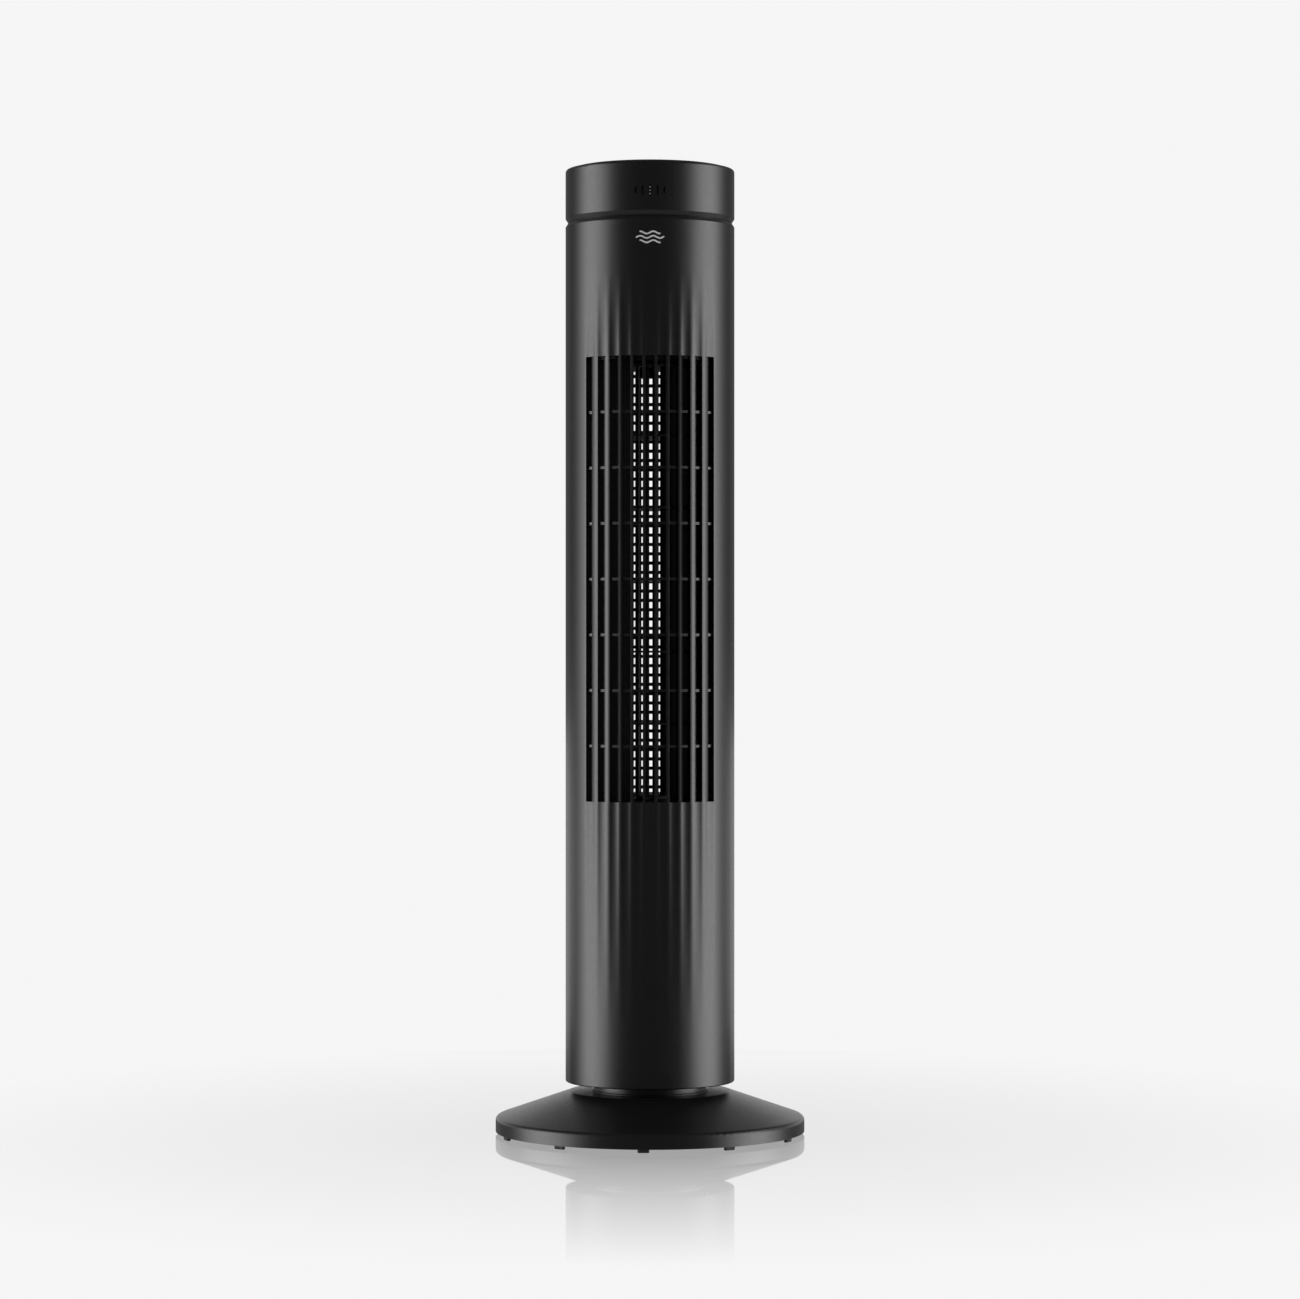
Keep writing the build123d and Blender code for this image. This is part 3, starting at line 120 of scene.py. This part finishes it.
def moulded_plastic(name, colour, roughness, grain=0.25, depth=0.004, specular=0.5):
    """Spark-eroded moulded plastic: a fine even grain, a little mottle, slightly uneven gloss."""
    shader = Shader(name)
    mottle = shader.noise(9 * MM, 4)
    light = tuple(min(1.0, channel * 1.18 + 0.0006) for channel in colour)
    shader.link(shader.ramp(mottle, colour, light), shader.bsdf.inputs["Base Color"])
    gloss = shader.noise(2.2 * MM, 2)
    shader.link(shader.between(gloss, roughness - 0.03, roughness + 0.03), shader.bsdf.inputs["Roughness"])
    fine = shader.noise(grain * MM, 2)
    shader.link(shader.bump(fine, depth * MM), shader.bsdf.inputs["Normal"])
    shader.set(Specular_IOR_Level=specular)
    return shader.material


def gloss_plastic(name, colour, roughness=0.08):
    """Polished plastic with a faint ripple and a few fine hairline marks."""
    shader = Shader(name)
    mottle = shader.noise(30 * MM, 2)
    light = tuple(min(1.0, channel * 1.2 + 0.0008) for channel in colour)
    shader.link(shader.ramp(mottle, colour, light), shader.bsdf.inputs["Base Color"])
    hairs = shader.noise(1.2 * MM, 4, stretch=(0.15, 1, 1))
    shader.link(shader.between(hairs, roughness, roughness + 0.06), shader.bsdf.inputs["Roughness"])
    ripple = shader.noise(14 * MM, 1)
    shader.link(shader.bump(ripple, 0.01 * MM), shader.bsdf.inputs["Normal"])
    shader.set(Coat_Weight=0.4, Coat_Roughness=0.04)
    return shader.material


def rubber(name, colour):
    shader = Shader(name)
    dust = shader.noise(3 * MM, 5)
    light = tuple(channel * 1.6 + 0.004 for channel in colour)
    shader.link(shader.ramp(dust, colour, light), shader.bsdf.inputs["Base Color"])
    shader.link(shader.between(dust, 0.6, 0.8), shader.bsdf.inputs["Roughness"])
    grain = shader.noise(0.5 * MM, 3)
    shader.link(shader.bump(grain, 0.03 * MM), shader.bsdf.inputs["Normal"])
    return shader.material


def metal(name, colour, roughness, stretch=(1, 1, 12), grain=0.5):
    """Metal with drawn or turned grain running across the stretch."""
    shader = Shader(name)
    cloud = shader.noise(6 * MM, 4)
    dark = tuple(channel * 0.82 for channel in colour)
    shader.link(shader.ramp(cloud, dark, colour), shader.bsdf.inputs["Base Color"])
    grains = shader.noise(grain * MM, 3, stretch)
    shader.link(shader.between(grains, roughness - 0.07, roughness + 0.08), shader.bsdf.inputs["Roughness"])
    shader.link(shader.bump(grains, 0.006 * MM), shader.bsdf.inputs["Normal"])
    shader.set(Metallic=1.0)
    return shader.material


def circuit_board(name):
    """Green solder resist over a web of slightly raised tracks."""
    shader = Shader(name)
    cells = shader.node("ShaderNodeTexVoronoi", feature="DISTANCE_TO_EDGE", distance="MANHATTAN")
    cells.inputs["Scale"].default_value = 1 / (5 * MM)
    shader.link(shader.coords, cells.inputs["Vector"])
    track = shader.ramp(cells.outputs["Distance"], (0.02, 0.15, 0.05), (0.008, 0.07, 0.022), 0.04, 0.08)
    shader.link(track, shader.bsdf.inputs["Base Color"])
    shader.link(shader.between(shader.noise(4 * MM), 0.25, 0.4), shader.bsdf.inputs["Roughness"])
    shader.link(shader.bump(cells.outputs["Distance"], 0.05 * MM, 0.4), shader.bsdf.inputs["Normal"])
    return shader.material


def wound_copper(name):
    """Enamelled wire: fine ridges laid round the coil."""
    shader = Shader(name)
    wave = shader.node("ShaderNodeTexWave", bands_direction="Z")
    wave.inputs["Scale"].default_value = 1 / (0.9 * MM)
    wave.inputs["Distortion"].default_value = 1.5
    shader.link(shader.coords, wave.inputs["Vector"])
    tone = shader.ramp(wave.outputs["Fac"], (0.28, 0.08, 0.02), (0.62, 0.26, 0.08))
    shader.link(tone, shader.bsdf.inputs["Base Color"])
    shader.link(shader.between(shader.noise(2 * MM), 0.25, 0.4), shader.bsdf.inputs["Roughness"])
    shader.link(shader.bump(wave.outputs["Fac"], 0.1 * MM), shader.bsdf.inputs["Normal"])
    shader.set(Metallic=0.8)
    return shader.material


CASE_BLACK = (0.0075, 0.0075, 0.0078)
materials = {
    "case_plastic": moulded_plastic("case_plastic", CASE_BLACK, 0.36),
    "inner_plastic": moulded_plastic("inner_plastic", (0.004, 0.004, 0.0042), 0.5),
    "impeller_plastic": moulded_plastic("impeller_plastic", (0.005, 0.005, 0.0055), 0.45),
    "panel_gloss": gloss_plastic("panel_gloss", (0.003, 0.003, 0.0035)),
    "window_tint": gloss_plastic("window_tint", (0.006, 0.004, 0.007), 0.05),
    "button_plastic": moulded_plastic("button_plastic", (0.012, 0.012, 0.013), 0.34),
    "rubber": rubber("rubber", (0.012, 0.012, 0.012)),
    "plated_steel": metal("plated_steel", (0.62, 0.62, 0.64), 0.32),
    "screw_steel": metal("screw_steel", (0.5, 0.5, 0.52), 0.35),
    "ballast_steel": moulded_plastic("ballast_steel", (0.09, 0.09, 0.1), 0.55, 0.8, 0.03),
    "lamination_steel": metal("lamination_steel", (0.34, 0.34, 0.36), 0.4, (0.05, 0.05, 1), 0.5),
    "bell_aluminium": metal("bell_aluminium", (0.68, 0.68, 0.7), 0.45, (1, 1, 1), 0.6),
    "winding_copper": wound_copper("winding_copper"),
    "bearing_bronze": metal("bearing_bronze", (0.6, 0.4, 0.17), 0.4, (1, 1, 1), 0.3),
    "acetal": moulded_plastic("acetal", (0.68, 0.68, 0.64), 0.4),
    "capacitor_case": moulded_plastic("capacitor_case", (0.6, 0.58, 0.5), 0.45),
    "circuit_board": circuit_board("circuit_board"),
    "component_black": moulded_plastic("component_black", (0.02, 0.02, 0.022), 0.45),
    "light_pipe": gloss_plastic("light_pipe", (0.75, 0.78, 0.8), 0.2),
}
slot_of = {part["node"]: part["material_slot"] for part in frame["record"]["subparts"]}
for node, obj in frame["nodes"].items():
    for index in range(len(obj.material_slots)):
        obj.material_slots[index].material = materials[slot_of[node]]


# ------------------------------------------------------------------ mesh helpers
def closed_sheet(bm, outer, inner, faces):
    """Two matching skins of points with the same faces, joined round every open edge."""
    top = [bm.verts.new(point) for point in outer]
    bottom = [bm.verts.new(point) for point in inner]
    edges = set()
    for face in faces:
        bm.faces.new([top[index] for index in face])
        bm.faces.new([bottom[index] for index in reversed(face)])
        edges.update(zip(face, face[1:] + face[:1]))
    for first, second in sorted(edges):
        if (second, first) not in edges:
            bm.faces.new([top[second], top[first], bottom[first], bottom[second]])
    loose = [vert for vert in top + bottom if not vert.link_faces]
    bmesh.ops.delete(bm, geom=loose, context="VERTS")


def grid_faces(columns, rows, keep=lambda column, row: True):
    """Faces of a grid whose points are listed row by row, from the left."""
    faces = []
    for row in range(rows - 1):
        for column in range(columns - 1):
            if keep(column, row):
                low = row * columns + column
                faces.append([low, low + 1, low + columns + 1, low + columns])
    return faces


def add_piece(name, bm, body, material, edge=0.0, replaces=()):
    """A mesh piece on a body, with its sharp edges softened by a small bevel."""
    bmesh.ops.recalc_face_normals(bm, faces=bm.faces)
    mesh = bpy.data.meshes.new(name)
    bm.to_mesh(mesh)
    bm.free()
    mesh.materials.append(material)
    mesh.shade_smooth()
    mesh.set_sharp_from_angle(angle=math.radians(SHARP_ANGLE))
    piece = bpy.data.objects.new(name, mesh)
    bpy.context.collection.objects.link(piece)
    if edge:
        bevel = piece.modifiers.new("soft_edges", "BEVEL")
        bevel.width = edge
        bevel.segments = 2
        bevel.limit_method = "ANGLE"
        bevel.angle_limit = math.radians(SHARP_ANGLE)
        bevel.harden_normals = True
    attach(piece, body)
    if replaces:
        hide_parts(*replaces)
    return piece



# ------------------------------------------------------------------ fluted front shell
shell_low, shell_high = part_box("front_shell")
TOWER_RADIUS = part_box("rear_shell")[1][0]
SHELL_BOTTOM = shell_low[2]
SHELL_TOP = shell_high[2]
PARTING_Y = shell_high[1]
WALL = 2.7 * MM
GROOVE_DEPTH = 2.1 * MM
GROOVE_HALF = 3.3 * MM
BOTTOM_ROUND = 1.2 * MM

WINDOW_BOTTOM = 263 * MM
WINDOW_TOP = 608 * MM
SLOT_PITCH = 9.2 * MM
VANE_COUNT = 10
VANE_WIDTH = 2.0 * MM
VANE_DEPTH = 6 * MM
VANE_TURN_RATE = 1.05 / MM
VANE_TURN_LIMIT = 27.5
SLOT_HALF = (SLOT_PITCH - VANE_WIDTH) / 2
WINDOW_HALF_WIDTH = VANE_COUNT / 2 * SLOT_PITCH + SLOT_HALF
JAMB_BACK_Y = -37 * MM
JAMB_WIDTH = 1.6 * MM
SILL = 2.5 * MM
BAR_COUNT = 7
BAR_HEIGHT = 2.1 * MM
BAR_FRONT_RADIUS = 64.5 * MM
BAR_BACK_RADIUS = 60.5 * MM

FLUTE_DEPTH = 0.62 * MM
FLUTE_TOP = 674 * MM
FLUTE_BOTTOM = 92 * MM
FLUTE_STEPS = 8
FADE_ROWS = 8
SIDE_STEPS = 7
FILLET_STEPS = 5
BAR_HALF_STEPS = 16
SHELL_EDGE = 0.22 * MM

AIRFLOW_MARK_Z = 699 * MM
WAVE_WIDTH = 1.25 * MM
WAVE_HEIGHT = 0.9
WAVE_TURNS = 0.62
PRINT_THICKNESS = 0.08 * MM
ICON_LINE_WIDTH = 0.42 * MM
ICON_THICKNESS = 0.04 * MM


def shell_columns():
    """(x, flute) across the front: flute runs from 0 at a land to 1 in the middle of a flute."""
    columns = []
    for slot in range(VANE_COUNT + 1):
        centre = (slot - VANE_COUNT / 2) * SLOT_PITCH
        for step in range(FLUTE_STEPS + 1):
            across = 2 * step / FLUTE_STEPS - 1
            columns.append((centre + across * SLOT_HALF, 1 - across**2))
        if slot < VANE_COUNT:
            columns.append((centre + SLOT_PITCH / 2, 0.0))
    turn_start = math.asin((WINDOW_HALF_WIDTH + 2 * JAMB_WIDTH) / TOWER_RADIUS)
    turn_end = math.acos(-PARTING_Y / TOWER_RADIUS)
    side = [WINDOW_HALF_WIDTH + JAMB_WIDTH]
    for step in range(SIDE_STEPS + 1):
        side.append(TOWER_RADIUS * math.sin(turn_start + (turn_end - turn_start) * step / SIDE_STEPS))
    return [(-x, 0.0) for x in reversed(side)] + columns + [(x, 0.0) for x in side]


def shell_rows():
    """(z, inset, fade, deep): corner rounding, flute fade, and whether the inside is at vane depth."""
    rows = []
    for step in range(FILLET_STEPS + 1):
        turn = math.pi / 2 * step / FILLET_STEPS
        rise = BOTTOM_ROUND * (1 - math.sin(turn))
        rows.append((SHELL_BOTTOM + rise, BOTTOM_ROUND * (1 - math.cos(turn)), 0, False))
    rows = sorted(rows)
    for step in range(FADE_ROWS + 1):
        part = step / FADE_ROWS
        rows.append((FLUTE_BOTTOM + (WINDOW_BOTTOM - SILL - FLUTE_BOTTOM) * part, 0, part, False))
    rows.append((WINDOW_BOTTOM, 0, 1, True))
    rows.append((WINDOW_TOP, 0, 1, True))
    for step in range(FADE_ROWS + 1):
        part = step / FADE_ROWS
        rows.append((WINDOW_TOP + SILL + (FLUTE_TOP - WINDOW_TOP - SILL) * part, 0, 1 - part, False))
    # the slope back to the groove under the head
    slope_start = SHELL_TOP - GROOVE_HALF
    for rise, inset in ((-0.45, 0), (-0.15, 0.01), (0.1, 0.08), (0.35, 0.22)):
        rows.append((slope_start + rise * MM, inset * MM, 0, False))
    rows.append((SHELL_TOP, GROOVE_DEPTH, 0, False))
    return rows


def shell_inside(x, z, deep):
    """The inner skin's point behind an outer point: the wall's inside, or a vane's back edge."""
    front_y = -math.sqrt(TOWER_RADIUS**2 - x**2)
    if deep and abs(x) < WINDOW_HALF_WIDTH - JAMB_WIDTH:
        past_centre = abs((math.floor(x / SLOT_PITCH) + 0.5) * SLOT_PITCH) - SLOT_PITCH / 2
        slant = math.radians(min(VANE_TURN_RATE * past_centre, VANE_TURN_LIMIT))
        return (x + math.copysign(VANE_DEPTH * math.sin(slant), x), front_y + VANE_DEPTH * math.cos(slant), z)
    if deep and abs(x) < WINDOW_HALF_WIDTH + 1.5 * JAMB_WIDTH:
        return (x, JAMB_BACK_Y, z)
    inside = TOWER_RADIUS - WALL
    inside_x = x * inside / TOWER_RADIUS
    inside_y = front_y * inside / TOWER_RADIUS
    if inside_y > PARTING_Y:
        return (math.copysign(math.sqrt(inside**2 - PARTING_Y**2), x), PARTING_Y, z)
    return (inside_x, inside_y, z)


def make_front_shell():
    columns = shell_columns()
    rows = shell_rows()
    outer = []
    inner = []
    for z, inset, fade, deep in rows:
        for x, flute in columns:
            front_y = -math.sqrt(TOWER_RADIUS**2 - x**2)
            scale = 1 - (inset + FLUTE_DEPTH * flute * fade) / TOWER_RADIUS
            outer.append((x * scale, front_y * scale, z))
            inner.append(shell_inside(x, z, deep))

    def solid(column, row):
        middle = (columns[column][0] + columns[column + 1][0]) / 2
        in_slot = columns[column][1] + columns[column + 1][1] > 0 and abs(middle) < WINDOW_HALF_WIDTH
        return not (in_slot and rows[row][3] and rows[row + 1][3])

    bm = bmesh.new()
    closed_sheet(bm, outer, inner, grid_faces(len(columns), len(rows), solid))
    # cross bars behind the vane fronts
    reach = math.asin((WINDOW_HALF_WIDTH + JAMB_WIDTH / 2) / BAR_FRONT_RADIUS)
    turns = [reach * (step / BAR_HALF_STEPS - 1) for step in range(2 * BAR_HALF_STEPS + 1)]
    for index in range(BAR_COUNT):
        middle = WINDOW_BOTTOM + (index + 1) * (WINDOW_TOP - WINDOW_BOTTOM) / (BAR_COUNT + 1)
        heights = (middle - BAR_HEIGHT / 2, middle + BAR_HEIGHT / 2)
        skins = [
            [(radius * math.sin(turn), -radius * math.cos(turn), z) for z in heights for turn in turns]
            for radius in (BAR_FRONT_RADIUS, BAR_BACK_RADIUS)
        ]
        closed_sheet(bm, *skins, grid_faces(len(turns), 2))
    black = materials["case_plastic"]
    add_piece("fluted_front_shell", bm, "tower", black, SHELL_EDGE, ["front_shell"])


make_front_shell()


# ------------------------------------------------------------------ printed marks
def stroke(bm, line, width, place, thickness):
    """A raised stroke with round ends; place(u, v, height) puts flat points on a surface."""
    flat = []
    faces = []
    count = len(line)
    for index, (u, v) in enumerate(line):
        before = line[max(index - 1, 0)]
        after = line[min(index + 1, count - 1)]
        along = math.atan2(after[1] - before[1], after[0] - before[0])
        shift_u = -math.sin(along) * width / 2
        shift_v = math.cos(along) * width / 2
        flat += [(u + shift_u, v + shift_v), (u - shift_u, v - shift_v)]
        if index:
            left = 2 * index
            faces.append([left - 2, left - 1, left + 1, left])
    for end, start_corner, stop_corner in ((0, 0, 1), (count - 1, 2 * count - 1, 2 * count - 2)):
        u, v = line[end]
        first = flat[start_corner]
        start = math.atan2(first[1] - v, first[0] - u)
        cap = [start_corner]
        for step in range(1, 6):
            turn = start + math.pi * step / 6
            flat.append((u + math.cos(turn) * width / 2, v + math.sin(turn) * width / 2))
            cap.append(len(flat) - 1)
        faces.append(cap + [stop_corner])
    closed_sheet(bm, [place(u, v, thickness) for u, v in flat], [place(u, v, 0) for u, v in flat], faces)


def polar(radius, turn, centre=(0, 0)):
    """The point at a radius and an angle in degrees about a centre."""
    angle = math.radians(turn)
    return (centre[0] + radius * math.cos(angle), centre[1] + radius * math.sin(angle))


def arc(radius, start, stop, centre=(0, 0), steps=24):
    """Points on an arc, with its angles in degrees."""
    return [polar(radius, start + (stop - start) * step / steps, centre) for step in range(steps + 1)]


def make_airflow_mark():
    """Three short waves printed under the head, as a plain sign for moving air."""

    def on_column(u, v, height):
        radius = TOWER_RADIUS - 0.02 * MM + height
        turn = u / TOWER_RADIUS
        return (radius * math.sin(turn), -radius * math.cos(turn), AIRFLOW_MARK_Z + v)

    bm = bmesh.new()
    for rise, half in ((3.4, 7.6), (0, 10.6), (-3.4, 7.6)):
        line = []
        for step in range(41):
            u = half * (step / 20 - 1)
            line.append((u * MM, (rise + WAVE_HEIGHT * math.sin(u * WAVE_TURNS)) * MM))
        stroke(bm, line, WAVE_WIDTH, on_column, PRINT_THICKNESS)
    add_piece("airflow_mark", bm, "tower", print_white)


def icon_lines():
    """Each button's plain symbol as lines of points, in millimetres about the button's middle."""
    blades = []
    for turn in (90, 210, 330):
        blades.append([polar(0.4 + 0.24 * step, turn + 9 * step) for step in range(9)])
    swing_arc = arc(2.3, 35, 145, (0, -1.2))
    heads = []
    for tip, way in ((swing_arc[0], 1), (swing_arc[-1], -1)):
        heads.append([(tip[0] - way * 0.1, tip[1] + 0.95), tip, (tip[0] - way * 0.95, tip[1] + 0.05)])
    return {
        "power": [arc(2.0, 125, 415), [(0, 0.7), (0, 2.5)]],
        "speed": blades,
        "mode": [arc(2.1, 55, 305), arc(1.85, 248, 112, (1.885, 0))],
        "timer": [arc(2.1, 0, 360), [(0, 1.3), (0, 0), (0.95, 0)]],
        "swing": [swing_arc, *heads],
    }


def make_button_icons():
    for name, lines in icon_lines().items():
        low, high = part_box(f"button_{name}")
        centre_x = (low[0] + high[0]) / 2
        centre_y = (low[1] + high[1]) / 2

        def on_button(u, v, height):
            return (centre_x + u, centre_y + v, high[2] - 0.01 * MM + height)

        bm = bmesh.new()
        for line in lines:
            stroke(bm, [(u * MM, v * MM) for u, v in line], ICON_LINE_WIDTH, on_button, ICON_THICKNESS)
        add_piece(f"button_icon_{name}", bm, f"button_{name}", print_grey)


print_white = moulded_plastic("print_white", (0.84, 0.84, 0.84), 0.5, 0.2, 0.003)
print_grey = moulded_plastic("print_grey", (0.42, 0.43, 0.45), 0.5, 0.2, 0.003)
make_airflow_mark()
make_button_icons()

# ------------------------------------------------------------------ floor, light and camera
CAMERA_DISTANCE = 3.05
CAMERA_HEIGHT = 0.381
LENS_IN_FRAME_WIDTHS = 2.97846
STRIP_LIGHT = 5.3
WALL_LIGHT = 0.15
ROOM_LIGHT = 0.1
FLOOR_LIGHT = 0.3
REAR_LIGHT = 0.32
PAPER = (0.92, 0.92, 0.92)
FLOOR_HALF = 30.0
CARD_HALF = 1.0
CARD_Y = 0.6
CARD_HEIGHT = 0.3
MIRROR_ROUGHNESS = 0.025
MIRROR_STRENGTH = 0.62
MIRROR_START = 0.13
MIRROR_END = 0.66


def make_stage_sheet(name, corners):
    """A flat studio sheet glowing evenly; gives the sheet, its node tree, the glow and the output."""
    mesh = bpy.data.meshes.new(name)
    mesh.from_pydata(corners, [], [(0, 1, 2, 3)])
    sheet = bpy.data.objects.new(name, mesh)
    bpy.context.collection.objects.link(sheet)
    material = bpy.data.materials.new(name)
    material.use_nodes = True
    tree = material.node_tree
    tree.nodes.clear()
    glow = tree.nodes.new("ShaderNodeEmission")
    glow.inputs["Color"].default_value = (*PAPER, 1)
    out = tree.nodes.new("ShaderNodeOutputMaterial")
    tree.links.new(glow.outputs["Emission"], out.inputs["Surface"])
    mesh.materials.append(material)
    return sheet, tree, glow, out


def make_floor():
    """A pale floor, even in tone, that mirrors softly close to the base."""
    half = FLOOR_HALF
    corners = [(-half, -half, 0), (half, -half, 0), (half, half, 0), (-half, half, 0)]
    floor, tree, glow, out = make_stage_sheet("studio_floor", corners)
    mirror = tree.nodes.new("ShaderNodeBsdfGlossy")
    mirror.inputs["Roughness"].default_value = MIRROR_ROUGHNESS
    place = tree.nodes.new("ShaderNodeTexCoord")
    reach = tree.nodes.new("ShaderNodeVectorMath")
    reach.operation = "LENGTH"
    fade = tree.nodes.new("ShaderNodeMapRange")
    fade.inputs["From Min"].default_value = MIRROR_START
    fade.inputs["From Max"].default_value = MIRROR_END
    fade.inputs["To Min"].default_value = MIRROR_STRENGTH
    fade.inputs["To Max"].default_value = 0
    tree.links.new(place.outputs["Object"], reach.inputs[0])
    tree.links.new(reach.outputs["Value"], fade.inputs["Value"])
    mix = tree.nodes.new("ShaderNodeMixShader")
    tree.links.new(fade.outputs["Result"], mix.inputs["Fac"])
    tree.links.new(glow.outputs["Emission"], mix.inputs[1])
    tree.links.new(mirror.outputs["BSDF"], mix.inputs[2])
    tree.links.new(mix.outputs["Shader"], out.inputs["Surface"])
    # the side strips light the base as they light the head, so the floor doesn't cut them off
    floor.visible_diffuse = False
    floor.visible_glossy = False


def make_floor_card():
    """A low pale card behind the fan that only mirrors see."""
    low = [(-CARD_HALF, CARD_Y, 0), (CARD_HALF, CARD_Y, 0)]
    corners = low + [(x, y, CARD_HEIGHT) for x, y, z in reversed(low)]
    card = make_stage_sheet("floor_card", corners)[0]
    card.visible_camera = False
    card.visible_diffuse = False


def make_world():
    """Studio light: tall soft strips at both sides, a pale wall behind, a dark room elsewhere."""
    world = bpy.data.worlds.new("studio")
    bpy.context.scene.world = world
    world.use_nodes = True
    tree = world.node_tree
    tree.nodes.clear()

    def add(kind, **values):
        node = tree.nodes.new(kind)
        for key, value in values.items():
            setattr(node, key, value)
        return node

    def calc(operation, first, second=None):
        node = add("ShaderNodeMath", operation=operation)
        for socket, value in zip(node.inputs, (first, second)):
            if isinstance(value, (int, float)):
                socket.default_value = value
            elif value is not None:
                tree.links.new(value, socket)
        return node.outputs[0]

    def smooth(value, start, end):
        node = add("ShaderNodeMapRange", interpolation_type="SMOOTHSTEP")
        node.inputs["From Min"].default_value = start
        node.inputs["From Max"].default_value = end
        tree.links.new(value, node.inputs["Value"])
        return node.outputs["Result"]

    direction = add("ShaderNodeTexCoord").outputs["Generated"]
    split = add("ShaderNodeSeparateXYZ")
    tree.links.new(direction, split.inputs["Vector"])
    x, y, z = split.outputs
    side = calc("ABSOLUTE", x)
    height = calc("ABSOLUTE", z)
    # strips straight out to each side, fading overhead and behind
    strip = calc("MULTIPLY", smooth(side, 0.76, 0.99), calc("SUBTRACT", 1.0, smooth(height, 0.55, 0.95)))
    strip = calc("MULTIPLY", strip, calc("SUBTRACT", 1.0, smooth(y, 0.0, 0.5)))
    wall = calc("MULTIPLY", smooth(y, 0.72, 0.9), calc("SUBTRACT", 1.0, smooth(height, 0.2, 0.34)))
    light = calc("ADD", calc("MULTIPLY", strip, STRIP_LIGHT), calc("MULTIPLY", wall, WALL_LIGHT))
    light = calc("ADD", light, ROOM_LIGHT)
    # the pale floor's own light, on faces that look down
    below = smooth(calc("MULTIPLY", z, -1.0), 0.25, 0.7)
    light = calc("ADD", light, calc("MULTIPLY", below, FLOOR_LIGHT))
    # two high soft panels behind, left and right, for the base's slope
    rear = calc("MULTIPLY", smooth(side, -0.04, 0.25), smooth(y, 0.45, 0.75))
    rear_height = calc("MULTIPLY", smooth(z, 0.3, 0.5), calc("SUBTRACT", 1.0, smooth(z, 0.68, 0.8)))
    rear = calc("MULTIPLY", rear, rear_height)
    light = calc("ADD", light, calc("MULTIPLY", rear, REAR_LIGHT))
    rays = add("ShaderNodeLightPath")
    room = add("ShaderNodeBackground")
    tree.links.new(light, room.inputs["Strength"])
    room.inputs["Color"].default_value = (1, 1, 1, 1)
    paper = add("ShaderNodeBackground")
    paper.inputs["Color"].default_value = (*PAPER, 1)
    mix = add("ShaderNodeMixShader")
    out = add("ShaderNodeOutputWorld")
    tree.links.new(rays.outputs["Is Camera Ray"], mix.inputs["Fac"])
    tree.links.new(room.outputs[0], mix.inputs[1])
    tree.links.new(paper.outputs[0], mix.inputs[2])
    tree.links.new(mix.outputs[0], out.inputs["Surface"])


def make_camera():
    data = bpy.data.cameras.new("camera")
    camera = bpy.data.objects.new("camera", data)
    bpy.context.collection.objects.link(camera)
    camera.location = (0, -CAMERA_DISTANCE, CAMERA_HEIGHT)
    camera.rotation_euler = (math.radians(90), 0, 0)
    data.sensor_width = 36
    data.lens = 36 * LENS_IN_FRAME_WIDTHS
    data.clip_end = 100
    bpy.context.scene.camera = camera


bpy.context.scene.view_settings.view_transform = "Standard"
make_floor()
make_floor_card()
make_world()
make_camera()
